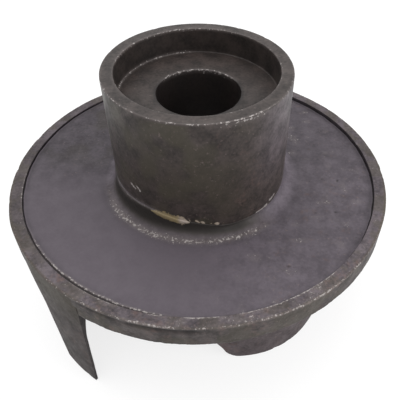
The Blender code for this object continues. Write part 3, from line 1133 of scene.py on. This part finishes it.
def distance_at(point):
    """Distance along the arcs of a point that lies beside the trailing arc."""
    angle = math.atan2(point[1] - TRAIL_ARC_CENTRE[1], point[0] - TRAIL_ARC_CENTRE[0])
    return LEAD_ARC_LENGTH + (angle - ARC_JUNCTION) * TRAIL_ARC_RADIUS


def crossing_of_circle(offset, circle_radius):
    """Where the trailing arc, set off by an amount, leaves a circle round the axis.

    The triangle of the two centres and the crossing gives the crossing's direction from the arc's centre
    by the law of cosines.
    """
    reach = math.hypot(*TRAIL_ARC_CENTRE)
    bearing = math.atan2(TRAIL_ARC_CENTRE[1], TRAIL_ARC_CENTRE[0])
    arc = TRAIL_ARC_RADIUS + offset
    angle = bearing - math.acos((circle_radius**2 - reach**2 - arc**2) / (2.0 * arc * reach))
    return TRAIL_ARC_CENTRE + arc * towards(angle)


def crossing_of_ray(offset, direction):
    """Where the trailing arc, set off by an amount, meets a ray from the axis."""
    ray = towards(direction)
    along = float(TRAIL_ARC_CENTRE @ ray)
    arc = TRAIL_ARC_RADIUS + offset
    return ray * (along + math.sqrt(along**2 - float(TRAIL_ARC_CENTRE @ TRAIL_ARC_CENTRE) + arc**2))


def eased(count):
    """Numbers from 0 to 1, both included, that crowd towards both ends."""
    return 0.5 - 0.5 * np.cos(np.linspace(0.0, math.pi, count))


def face_growth(sizes, height, under, shrink):
    """How far each vane face lies off the running edge's arcs at a height.

    It is draft times height, plus a flare that is a power of the share of its height, plus the root
    fillet's quarter circle, less the shrink that rounds an edge over.
    """
    below = max(under - height, 0.0)
    growth = height * math.tan(sizes.vane_draft) - shrink
    growth += sizes.root_flare * max(1.0 - below / sizes.root_flare_height, 0.0) ** ROOT_FLARE_POWER
    into_fillet = max(sizes.root_fillet - below, 0.0)
    return growth + (sizes.root_fillet - math.sqrt(sizes.root_fillet**2 - into_fillet**2))


def leading_edge_distance(sizes, height, half, shrink):
    """Distance along the arcs at which the vane's nose begins at a height.

    The raked edge goes back by the height over the rake's tangent. Its lower corner is a quarter circle,
    and just above that the edge swells out as a bell.
    """
    corner = max(1.0 - height / LEADING_CORNER_ROUND, 0.0)
    set_back = LEADING_CORNER_ROUND * (1.0 - math.sqrt(1.0 - corner**2)) + shrink
    set_back -= LEADING_SWELL * math.exp(-(((height - LEADING_SWELL_HEIGHT) / LEADING_SWELL_HEIGHT) ** 2))
    return LEADING_NOSE_DEPTH * half - height / math.tan(sizes.leading_rake) + set_back


def vane_outline(sizes, height, turned_radius, shrink=0.0, shortened=0.0):
    """Plan outline of the vane at a height: outer face, turned end, trailing flat, inner face and nose.

    Each face lies off the running edge's arcs by its growth, and the nose is half an ellipse. A shortened
    vane starts further along its arcs, up to a stub at the turned end. Returns the outline and the
    directions in which the turned end starts and stops.
    """
    under = sizes.lip_top - sizes.plate_thickness
    growth = face_growth(sizes, height, under, shrink)
    outer, inner = growth, -sizes.vane_thickness - growth
    half = 0.5 * (outer - inner)
    flat_turn = TRAILING_FLAT_AT_PLATE - TRAILING_FLAT_AT_EDGE
    last = TRAILING_FLAT_AT_EDGE + min(height / under, 1.0) * flat_turn - shrink / turned_radius
    outer_corner = crossing_of_circle(outer, turned_radius)
    inner_corner = crossing_of_ray(inner, last)
    lead = leading_edge_distance(sizes, height, half, shrink)
    lead += shortened * (distance_at(outer_corner) - STUB_LENGTH - lead)
    point, normal = outer_face_points(np.linspace(lead, distance_at(outer_corner), FACE_COUNT))
    outer_face = point + outer * normal
    first = math.atan2(outer_corner[1], outer_corner[0])
    turn = (first + (last - first) * eased(END_COUNT + 1)[1:])[:, None]
    turned_end = turned_radius * np.concatenate([np.cos(turn), np.sin(turn)], -1)
    flat = turned_end[-1] + (inner_corner - turned_end[-1]) * eased(FLAT_COUNT + 1)[1:-1, None]
    point, normal = outer_face_points(np.linspace(distance_at(inner_corner), lead, FACE_COUNT))
    inner_face = point + inner * normal
    nose_point, nose_normal = outer_face_points(np.array(lead))
    forward = np.array([nose_normal[1], -nose_normal[0]])
    swing = np.linspace(0.0, math.pi, NOSE_COUNT + 1)[1:-1, None]
    nose = nose_point + 0.5 * (outer + inner) * nose_normal
    nose = nose + half * (-np.cos(swing) * nose_normal + LEADING_NOSE_DEPTH * np.sin(swing) * forward)
    return np.concatenate([outer_face, turned_end, flat, inner_face, nose]), (first, last)


def pad_outline(turned_radius, ends, heel_radius):
    """Plan outline of the part of the rim that is turned with the vane's end, a kite with a curved front.

    It has the same points as the vane's outline. The turned end stays where it is, a little worn at both
    corners, and the faces become two straight sides that meet in a narrow heel inside the metal.
    """
    first, last = ends
    turn = first + (last - first) * eased(END_COUNT + 1)
    across = np.linspace(0.0, 1.0, END_COUNT + 1)
    first_wear = 0.45 * MM * (1.0 - smoothstep(0.0, 0.35, across))
    last_wear = 0.22 * MM * smoothstep(0.66, 1.0, across)
    front = turned_radius - first_wear - last_wear
    arc = front[:, None] * np.stack([np.cos(turn), np.sin(turn)], -1)
    middle = 0.5 * (first + last)
    along = np.array([-math.sin(middle), math.cos(middle)]) * 0.4 * MM
    heel = heel_radius * towards(middle)
    flat_end = arc[-1] * (1.0 - 0.5 * MM / turned_radius)
    outer_face = heel - along + (arc[0] - heel + along) * np.linspace(0.0, 1.0, FACE_COUNT)[:, None]
    flat = arc[-1] + (flat_end - arc[-1]) * eased(FLAT_COUNT + 1)[1:-1, None]
    inner_face = flat_end + (heel + along - flat_end) * np.linspace(0.0, 1.0, FACE_COUNT)[:, None]
    nose = heel + along - 2.0 * along * np.linspace(0.0, 1.0, NOSE_COUNT + 1)[1:-1, None]
    return np.concatenate([outer_face, arc[1:], flat, inner_face, nose])


def vane_layers(sizes):
    """Points of a vane as plan outlines stacked by height, one row for each.

    The running edge is rounded over, the drafted faces and the root fillet follow, and inside the plate
    the outline shortens to a stub, which then becomes the part of the rim that is turned with it.
    """
    under = sizes.lip_top - sizes.plate_thickness
    turned_radius = sizes.rim_radius + TURNED_END_PROUD
    heel_radius = sizes.rim_radius - TURNED_PAD_DEPTH
    layers, heights = [], []
    for height, shrink in RUNNING_EDGE_ROUND:
        layers.append(vane_outline(sizes, height * MM, turned_radius - shrink * MM, shrink * MM)[0])
        heights.append(height * MM)
    drafted = np.linspace(DRAFTED_START, under - sizes.root_fillet, DRAFTED_LAYERS)
    fillet = under - sizes.root_fillet * (1.0 - eased(FILLET_LAYERS)[1:-1])
    for height in np.concatenate([drafted, fillet]):
        layers.append(vane_outline(sizes, height, turned_radius)[0])
        heights.append(height)
    root, ends = vane_outline(sizes, under, turned_radius)
    layers += [root, root]
    heights += [under, under + ROOT_RISE_MM * MM]
    for share in np.linspace(0.0, 1.0, SHORTENING_LAYERS + 1)[1:]:
        layers.append(vane_outline(sizes, under, turned_radius, shortened=share)[0])
        heights.append(under + (ROOT_RISE_MM + SHORTENING_RISE_MM * share) * MM)
    for below, shrink in TURNED_PAD_LAYERS:
        layers.append(pad_outline(turned_radius - shrink * MM, ends, heel_radius))
        heights.append(sizes.lip_top - below * MM)
    plan = np.stack(layers)
    height = np.broadcast_to(np.array(heights)[:, None, None], plan.shape[:2] + (1,))
    return np.concatenate([plan, height], -1)


def cap_faces(ring, points, first_extra):
    """Faces that close a vane's outline towards its middle line, and the points of that line.

    Each point of the outer face pairs with its partner on the inner face, and their midpoint is a point of
    the middle line. The turned end and the flat fan out from the last midpoint, and the nose from the first.
    """
    outer = points[ring[:FACE_COUNT]]
    inner = points[ring[INNER_START : INNER_START + FACE_COUNT][::-1]]
    partner = np.concatenate(
        [
            np.arange(FACE_COUNT),
            np.full(INNER_START - FACE_COUNT, FACE_COUNT - 1),
            np.arange(FACE_COUNT)[::-1],
            np.zeros(NOSE_COUNT - 1, dtype=int),
        ]
    )
    middle = first_extra + partner
    middle_next = np.roll(middle, -1)
    quads = np.stack([ring, np.roll(ring, -1), middle_next, middle], -1)
    same = middle == middle_next
    return quads[~same], quads[same][:, :3], 0.5 * (outer + inner)


def closed_stack(points):
    """Faces round a stack of outlines and across both its ends, and its points with both middle lines."""
    rows, columns = points.shape[:2]
    flat_points = points.reshape(-1, 3)
    index = np.arange(rows * columns).reshape(rows, columns)
    right = np.roll(index, -1, 1)
    wall = np.stack([index[:-1], right[:-1], right[1:], index[1:]], -1).reshape(-1, 4)
    low_quads, low_fans, low_line = cap_faces(index[0], flat_points, rows * columns)
    top_quads, top_fans, top_line = cap_faces(index[-1], flat_points, rows * columns + FACE_COUNT)
    faces = [wall, low_quads[:, ::-1], low_fans[:, ::-1], top_quads, top_fans]
    return np.concatenate([flat_points, low_line, top_line]), faces


def make_vane(sizes, name, turn_degrees, seed):
    """One vane: its stacked outlines turned round the axis and closed at both ends, plus cast relief.

    The relief runs along the normal, and is finer on the turned end and inside the rim. Masks follow the
    height, the depth below the lip's top and the column, which says what part of the outline a point is on.
    """
    under = sizes.lip_top - sizes.plate_thickness
    points = vane_layers(sizes)
    turn = math.radians(turn_degrees)
    spin = np.array([[math.cos(turn), -math.sin(turn)], [math.sin(turn), math.cos(turn)]])
    points[..., :2] = points[..., :2] @ spin.T
    grid_shape = points.shape[:2]
    column = np.arange(grid_shape[1]) + 0.0 * points[..., 2]
    outer_face = (column < FACE_COUNT) * 1.0
    turned_end = ((column >= FACE_COUNT - 1) & (column < FACE_COUNT + END_COUNT)) * 1.0
    on_flat = ((column >= FACE_COUNT + END_COUNT) & (column < INNER_START)) * 1.0
    inner_face = (column >= INNER_START) * 1.0
    in_rim = smoothstep(under - 0.5 * MM, under + 2.5 * MM, points[..., 2])
    running_edge = bell(points[..., 2], 0.0, 0.7 * MM)
    chips = sparse_spots(points, 2.8 * MM, seed + 3, 0.3)
    relief = cast_relief(points, seed) * (0.75 - 0.40 * turned_end) * (1.0 - 0.6 * in_rim)
    relief = relief - 0.15 * MM * running_edge * chips
    # The rows run upwards, so that the grid's normals point into the metal.
    points = points - grid_normals(points, wrap_rows=False) * relief[..., None]

    height = points[..., 2]
    depth = sizes.lip_top - height
    top_edge = bell(depth, 0.2 * MM, 0.7 * MM) * turned_end
    trailing_corner = bell(column, FACE_COUNT + END_COUNT - 1.0, 2.5)
    corner_patch = trailing_corner * bell(depth, 2.0 * MM, 3.0 * MM)
    lit_lead_strip = bell(column, 6.0, 7.0) + bell(column, grid_shape[1] - 8.0, 8.0)
    towards_lead = 1.0 - smoothstep(0.0, 0.45 * FACE_COUNT, column)
    masks = {
        "turned": 0.85 * turned_end + 0.35 * outer_face + 0.5 * on_flat,
        # Painted shade darkens the turned end deeper below the lip and the outer face towards its leading
        # end, and painted light lightens the strip along the nose.
        "tone": 0.5
        + 0.07 * layered_noise(points, 8.0 * MM, seed + 21, 4, 0.7)
        + 0.08 * in_rim * turned_end
        - 0.12 * turned_end
        - 0.24 * turned_end * smoothstep(6.0 * MM, 50.0 * MM, depth)
        - 0.10 * outer_face
        - 0.12 * outer_face * towards_lead
        + 0.12 * outer_face * lit_lead_strip
        - 0.08 * inner_face
        - 0.25 * on_flat,
        "mottle": 0.65,
        "speck": 0.12 + 0.10 * outer_face,
        "olive": 0.7 * turned_end * (1.0 - smoothstep(4.0 * MM, 26.0 * MM, depth)),
        "rust": (0.36 + 0.35 * patches(points, 9.0 * MM, seed + 25)) * smoothstep(5.0 * MM, 26.0 * MM, depth)
        + 0.7 * corner_patch * patches(points, 3.0 * MM, seed + 27, 0.35, 0.6),
        # Painted shade on the trailing flat and the inner face, and along the foot of the outer face at the
        # running edge.
        "shade_and_grime": 0.75 * on_flat + 0.20 * inner_face + 0.25 * outer_face * bell(height, 0.0, 1.5 * MM),
        "residue": 0.0,
        "pale": 0.0,
        "wear_and_highlight": 0.34 * top_edge
        + 0.18 * running_edge
        + 0.60 * trailing_corner * bell(depth, 0.6 * MM, 1.2 * MM),
    }
    all_points, faces = closed_stack(points)
    return build_mesh_piece(name, all_points, faces, masks, grid_shape)


def node_at(tree, kind, x, y, **settings):
    """Add a node at a place and set its plain properties."""
    node = tree.nodes.new(kind)
    node.location = (x, y)
    for key, value in settings.items():
        setattr(node, key, value)
    return node


def feed(tree, socket, value):
    """Feed an input socket from another socket, a number or a plain colour."""
    if isinstance(value, bpy.types.NodeSocket):
        tree.links.new(value, socket)
    elif isinstance(value, (int, float)):
        socket.default_value = value
    else:
        socket.default_value = (*value, 1.0)


def calculated(tree, x, y, operation, *inputs):
    """Output of a new Math node whose inputs are fed in order."""
    node = node_at(tree, "ShaderNodeMath", x, y, operation=operation)
    for socket, value in zip(node.inputs, inputs):
        feed(tree, socket, value)
    return node.outputs[0]


def mapped(tree, x, y, value, start, end, to_start=0.0, to_end=1.0, interpolation="LINEAR"):
    """Output of a new node that maps a value from one range to another and stops at its ends."""
    node = node_at(tree, "ShaderNodeMapRange", x, y, interpolation_type=interpolation)
    labels = ("Value", "From Min", "From Max", "To Min", "To Max")
    for label, given in zip(labels, (value, start, end, to_start, to_end)):
        feed(tree, node.inputs[label], given)
    return node.outputs["Result"]


def noise_at(tree, x, y, where, scale, detail, roughness=0.5):
    """Output of a new Noise Texture node."""
    node = node_at(tree, "ShaderNodeTexNoise", x, y)
    for label, given in zip(("Vector", "Scale", "Detail", "Roughness"), (where, scale, detail, roughness)):
        feed(tree, node.inputs[label], given)
    return node.outputs["Fac"]


def mixed_colour(tree, x, y, first, second, factor, blend="MIX"):
    """Output of a new node that mixes two colours by a mask."""
    mix = node_at(tree, "ShaderNodeMix", x, y, data_type="RGBA", blend_type=blend)
    for place, value in ((0, factor), (6, first), (7, second)):
        feed(tree, mix.inputs[place], value)
    return mix.outputs[2]


def shared_group(name, inputs, output, build):
    """The node group of a name, made at its first use.

    It has a Vector and the named numbers as inputs, and one number as output. The build function adds its
    nodes: it gets the group and its input sockets, and returns the socket that feeds the output.
    """
    group = bpy.data.node_groups.get(name)
    if group is None:
        group = bpy.data.node_groups.new(name, "ShaderNodeTree")
        group.interface.new_socket(name="Vector", in_out="INPUT", socket_type="NodeSocketVector")
        for label in inputs:
            group.interface.new_socket(name=label, in_out="INPUT", socket_type="NodeSocketFloat")
        group.interface.new_socket(name=output, in_out="OUTPUT", socket_type="NodeSocketFloat")
        given = node_at(group, "NodeGroupInput", -900, 0).outputs
        result = node_at(group, "NodeGroupOutput", 700, 0)
        feed(group, result.inputs[output], build(group, given))
    return group


def placed_group(tree, group, x, y, where, values):
    """Output of a node group that reads the object's coordinates and the given values by name."""
    node = node_at(tree, "ShaderNodeGroup", x, y, node_tree=group)
    feed(tree, node.inputs["Vector"], where)
    for label, value in values.items():
        feed(tree, node.inputs[label], value)
    return node.outputs[0]


def build_mottle(group, given):
    """A 0 to 1 mask from two sizes of noise, for stains and colour drift."""
    patch = noise_at(group, -450, 150, given["Vector"], given["Patch scale"], 3.0)
    fine = noise_at(group, -450, -150, given["Vector"], given["Fine scale"], 2.0)
    both = calculated(group, -150, 0, "MULTIPLY_ADD", fine, 0.6, patch)
    return mapped(group, 150, 0, both, 0.60, 1.00)


def build_broken_edge(group, given):
    """A crisp, broken mask from a soft field.

    Noise pushes the field up and down, and what ends above one half is in the mask. So a stronger field
    lets the mask cover more of the surface, and where the field is nought it covers nothing.
    """
    noise = noise_at(group, -650, 200, given["Vector"], given["Break scale"], 3.0, 0.65)
    centred = calculated(group, -450, 200, "SUBTRACT", noise, 0.5)
    pushed = calculated(group, -250, 100, "MULTIPLY_ADD", centred, given["Break depth"], given["Field"])
    full = calculated(group, -250, -150, "ADD", 0.5, given["Softness"])
    border = mapped(group, 150, 0, pushed, 0.5, full, interpolation="SMOOTHSTEP")
    gate = mapped(group, 150, -300, given["Field"], 0.02, 0.15)
    return calculated(group, 450, 0, "MULTIPLY", border, gate)


def build_grain(group, given):
    """The height of a fine sand-cast grain with small sharp pores."""
    grain = noise_at(group, -450, 150, given["Vector"], given["Grain scale"], 4.0)
    pores = node_at(group, "ShaderNodeTexVoronoi", -450, -150, feature="F1")
    feed(group, pores.inputs["Vector"], given["Vector"])
    feed(group, pores.inputs["Scale"], given["Pore scale"])
    hole = mapped(group, -200, -150, pores.outputs["Distance"], 0.05, 0.30, -0.5, 0.0)
    return calculated(group, 150, 0, "ADD", grain, hole)


def skin_colour(tree, where, mask, stains, base_colour, finish):
    """Colour of the iron, laid on in order: stained skin, film, rust, tone and shading, specks, shade and
    grime, residue, wear and highlights.
    """
    border_group = shared_group(
        "broken_edge", ("Field", "Break scale", "Break depth", "Softness"), "Mask", build_broken_edge
    )
    broken = {}
    for place, (label, (field, scale, depth, softness)) in enumerate(BROKEN_MASKS.items()):
        values = {"Field": mask[field], "Break scale": scale, "Break depth": depth, "Softness": softness}
        broken[label] = placed_group(tree, border_group, -1600, 500 - 220 * place, where, values)
    centred = calculated(tree, -1500, 820, "SUBTRACT", stains, 0.5)
    stain = calculated(tree, -1400, 700, "MULTIPLY_ADD", centred, mask["mottle"], 0.5)
    ground = []
    for colour, stain_range, y in (
        (base_colour, CAST_STAIN_RANGE, 700),
        (finish.turned_colour, TURNED_STAIN_RANGE, 400),
    ):
        darkest, brightest = (Vector(colour) * share for share in stain_range)
        ground.append(mixed_colour(tree, -1200, y, darkest, brightest, stain))
    rust = calculated(tree, -1000, 300, "MULTIPLY", broken["rust"], RUST_SHARE)
    tone = calculated(tree, -800, 300, "ADD", mask["tone"], 0.5)
    pale_specks = calculated(tree, -600, 300, "MULTIPLY", broken["pale specks"], PALE_SPECK_SHARE)
    dark_specks = calculated(tree, -400, 300, "MULTIPLY", broken["dark specks"], DARK_SPECK_SHARE)
    dried = mixed_colour(tree, -200, 300, finish.residue_colour, finish.pale_residue_colour, mask["pale"])
    rubbed_and_lit = calculated(tree, 0, 300, "MULTIPLY", mask["wear_and_highlight"], RUBBED_AND_LIT_SHARE)
    skin = mixed_colour(tree, -1000, 600, ground[0], ground[1], mask["turned"])
    skin = mixed_colour(tree, -850, 600, skin, finish.olive_colour, mask["olive"])
    skin = mixed_colour(tree, -700, 600, skin, finish.rust_colour, rust)
    skin = mixed_colour(tree, -550, 600, skin, tone, 1.0, "MULTIPLY")
    skin = mixed_colour(tree, -400, 600, skin, finish.pale_speck_colour, pale_specks)
    skin = mixed_colour(tree, -250, 600, skin, finish.dark_speck_colour, dark_specks)
    skin = mixed_colour(tree, -100, 600, skin, finish.shade_and_grime_colour, mask["shade_and_grime"])
    skin = mixed_colour(tree, 50, 600, skin, dried, broken["residue"])
    skin = mixed_colour(tree, 200, 600, skin, finish.rubbed_and_lit_colour, rubbed_and_lit)
    return mixed_colour(tree, 350, 600, skin, finish.bright_colour, broken["wear_and_highlight"])


def grain_normal(tree, where, mottle, grain_height):
    """Normals of the fine grain, which is deeper where the skin is mottled."""
    group = shared_group("iron_grain", ("Grain scale", "Pore scale"), "Height", build_grain)
    grain = placed_group(tree, group, -1600, -700, where, {"Grain scale": 850.0, "Pore scale": 600.0})
    depth = calculated(tree, -200, -400, "ADD", mottle, LEAST_GRAIN)
    bump = node_at(tree, "ShaderNodeBump", 200, -300)
    bump.inputs["Strength"].default_value = GRAIN_STRENGTH
    bump.inputs["Distance"].default_value = grain_height
    feed(tree, bump.inputs["Height"], calculated(tree, 0, -400, "MULTIPLY", grain, depth))
    return bump.outputs["Normal"]


def iron_material(name, finish):
    """Oiled iron with a mottled skin, olive film, thin rust, grime, dried residue and rubbed edges.

    Point masks on the piece say where each effect lies, and noise on the object's coordinates breaks up
    their borders. The tone also holds painted light and shade, the grime painted shade, and the rubbed edges
    painted highlights.
    """
    material = bpy.data.materials.get(name)
    if material:
        return material
    colour_setting, roughness_setting, rougher, grain_height, gloss = SKINS[name]
    base_colour = getattr(finish, colour_setting)
    roughness = getattr(finish, roughness_setting) + rougher
    material = bpy.data.materials.new(name)
    material.use_nodes = True
    tree = material.node_tree
    shader = tree.nodes["Principled BSDF"]
    shader.location = (600, 300)
    where = node_at(tree, "ShaderNodeTexCoord", -2200, 0).outputs["Object"]
    mask = {}
    for place, label in enumerate(MASK_NAMES):
        reader = node_at(tree, "ShaderNodeAttribute", -1900, 900 - 200 * place, attribute_name=label)
        mask[label] = reader.outputs["Fac"]
    stain_group = shared_group("iron_mottle", ("Patch scale", "Fine scale"), "Mask", build_mottle)
    stains = placed_group(tree, stain_group, -1600, 720, where, {"Patch scale": 170.0, "Fine scale": 900.0})
    drift = mapped(tree, 0, 100, stains, 0.0, 1.0, roughness + ROUGHNESS_DRIFT, roughness - ROUGHNESS_DRIFT)
    feed(tree, shader.inputs["Base Color"], skin_colour(tree, where, mask, stains, base_colour, finish))
    feed(tree, shader.inputs["Roughness"], drift)
    feed(tree, shader.inputs["Normal"], grain_normal(tree, where, mask["mottle"], grain_height))
    shader.inputs["Metallic"].default_value = IRON_METALLIC
    shader.inputs["Specular IOR Level"].default_value = gloss
    return material


def dress(piece, material):
    """Give a piece its iron, let it ride on the casting's body and stand for the casting's solid."""
    piece.data.materials.append(material)
    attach(piece, BODY)
    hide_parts(CASTING)


class IMPELLER_OT_hub(bpy.types.Operator):
    """Build the turned hub with its counterbore and bore"""

    bl_idname = "impeller.build_hub"
    bl_label = "Hub"

    def execute(self, context):
        scene = context.scene
        dress(make_hub(scene.impeller_sizes), iron_material("turned_skin", scene.impeller_finish))
        return {"FINISHED"}


class IMPELLER_OT_back_plate(bpy.types.Operator):
    """Build the back plate with the hub's cast foot and the nose boss"""

    bl_idname = "impeller.build_back_plate"
    bl_label = "Back plate"

    def execute(self, context):
        scene = context.scene
        dress(make_back_plate(scene.impeller_sizes), iron_material("cast_skin", scene.impeller_finish))
        return {"FINISHED"}


class IMPELLER_OT_rim(bpy.types.Operator):
    """Build the rim with its raised lip"""

    bl_idname = "impeller.build_rim"
    bl_label = "Rim"

    def execute(self, context):
        scene = context.scene
        dress(make_rim(scene.impeller_sizes), iron_material("cast_skin", scene.impeller_finish))
        return {"FINISHED"}


class IMPELLER_OT_vanes(bpy.types.Operator):
    """Build the two vanes"""

    bl_idname = "impeller.build_vanes"
    bl_label = "Vanes"

    def execute(self, context):
        scene = context.scene
        for name, turn, seed in VANES:
            vane = make_vane(scene.impeller_sizes, name, turn, seed)
            dress(vane, iron_material("vane_skin", scene.impeller_finish))
        return {"FINISHED"}


def add_floor(glow):
    """Matt white floor of a light table: most of its brightness shines through it."""
    material = bpy.data.materials.new("floor_white")
    material.use_nodes = True
    shader = material.node_tree.nodes["Principled BSDF"]
    shader.inputs["Base Color"].default_value = (0.24, 0.24, 0.24, 1.0)
    shader.inputs["Roughness"].default_value = 0.9
    shader.inputs["Specular IOR Level"].default_value = 0.1
    shader.inputs["Emission Color"].default_value = (1.0, 1.0, 1.0, 1.0)
    shader.inputs["Emission Strength"].default_value = glow
    mesh = bpy.data.meshes.new("floor")
    half = FLOOR_HALF_WIDTH
    corners = [(-half, -half, 0), (half, -half, 0), (half, half, 0), (-half, half, 0)]
    mesh.from_pydata(corners, [], [(0, 1, 2, 3)])
    mesh.materials.append(material)
    floor = bpy.data.objects.new("floor", mesh)
    bpy.context.scene.collection.objects.link(floor)


def add_surround(brightness):
    """Plain white surround that lights the object from all sides."""
    world = bpy.data.worlds.new("white_surround")
    bpy.context.scene.world = world
    world.use_nodes = True
    background = world.node_tree.nodes["Background"]
    background.inputs["Color"].default_value = (1.0, 1.0, 1.0, 1.0)
    background.inputs["Strength"].default_value = brightness


def add_softbox(name, place, target, size, power):
    """A square soft light that looks at a target."""
    light = bpy.data.lights.new(name, "AREA")
    light.energy = power
    light.size = size
    lamp = bpy.data.objects.new(name, light)
    lamp.location = place
    lamp.rotation_euler = (Vector(target) - Vector(place)).to_track_quat("-Z", "Y").to_euler()
    bpy.context.scene.collection.objects.link(lamp)


def add_camera(lip_top):
    """The camera at the photograph's place, looking where the fit of the casting's circles puts it."""
    away = Vector((0.0, -math.cos(CAMERA_ELEVATION), math.sin(CAMERA_ELEVATION)))
    right = Vector((1.0, 0.0, 0.0))
    up = right.cross(-away)
    forward = (-away + math.tan(CAMERA_PAN) * right + math.tan(CAMERA_TILT) * up).normalized()
    right = (right - forward * forward.dot(right)).normalized()
    up = right.cross(forward)
    rolled_right = math.cos(CAMERA_ROLL) * right + math.sin(CAMERA_ROLL) * up
    rolled_up = -math.sin(CAMERA_ROLL) * right + math.cos(CAMERA_ROLL) * up
    place = Vector((0.0, 0.0, lip_top)) + away * CAMERA_DISTANCE
    lens = bpy.data.cameras.new("camera")
    lens.lens = CAMERA_LENS_MM
    lens.sensor_width = SENSOR_MM
    lens.shift_x, lens.shift_y = CAMERA_SHIFT
    lens.clip_start, lens.clip_end = CAMERA_CLIP
    camera = bpy.data.objects.new("camera", lens)
    turn = Matrix((rolled_right, rolled_up, -forward)).transposed()
    camera.matrix_world = Matrix.Translation(place) @ turn.to_4x4()
    bpy.context.scene.collection.objects.link(camera)
    bpy.context.scene.camera = camera


class IMPELLER_OT_stage(bpy.types.Operator):
    """Build the floor, the studio light and the camera"""

    bl_idname = "impeller.build_stage"
    bl_label = "Stage"

    def execute(self, context):
        light = context.scene.studio_light
        add_floor(light.floor_glow)
        add_softbox(*OVERHEAD_SOFTBOX, light.overhead_power)
        add_softbox(*SIDE_SOFTBOX, light.side_power)
        add_surround(light.surround)
        context.scene.view_settings.view_transform = "Standard"
        add_camera(context.scene.impeller_sizes.lip_top)
        return {"FINISHED"}


PIECES = (IMPELLER_OT_hub, IMPELLER_OT_back_plate, IMPELLER_OT_rim, IMPELLER_OT_vanes, IMPELLER_OT_stage)


class IMPELLER_PT_panel(bpy.types.Panel):
    """Lists the impeller's pieces and settings"""

    bl_label = "Impeller"
    bl_idname = "IMPELLER_PT_panel"
    bl_space_type = "VIEW_3D"
    bl_region_type = "UI"
    bl_category = "Impeller"

    def draw(self, context):
        scene = context.scene
        for settings in (scene.impeller_sizes, scene.impeller_finish, scene.studio_light):
            box = self.layout.box()
            for key in settings.__annotations__:
                box.prop(settings, key)
        for piece in PIECES:
            self.layout.operator(piece.bl_idname)


CLASSES = (ImpellerSizes, ImpellerFinish, StudioLight, *PIECES, IMPELLER_PT_panel)


def register():
    """Register the classes and give the scene its three groups of settings."""
    for cls in CLASSES:
        bpy.utils.register_class(cls)
    bpy.types.Scene.impeller_sizes = bpy.props.PointerProperty(type=ImpellerSizes)
    bpy.types.Scene.impeller_finish = bpy.props.PointerProperty(type=ImpellerFinish)
    bpy.types.Scene.studio_light = bpy.props.PointerProperty(type=StudioLight)


def unregister():
    """Take back what register did."""
    del bpy.types.Scene.studio_light
    del bpy.types.Scene.impeller_finish
    del bpy.types.Scene.impeller_sizes
    for cls in reversed(CLASSES):
        bpy.utils.unregister_class(cls)


def main():
    """Register the add-on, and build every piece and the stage."""
    register()
    bpy.ops.impeller.build_hub()
    bpy.ops.impeller.build_back_plate()
    bpy.ops.impeller.build_rim()
    bpy.ops.impeller.build_vanes()
    bpy.ops.impeller.build_stage()


if __name__ == "__main__":
    main()
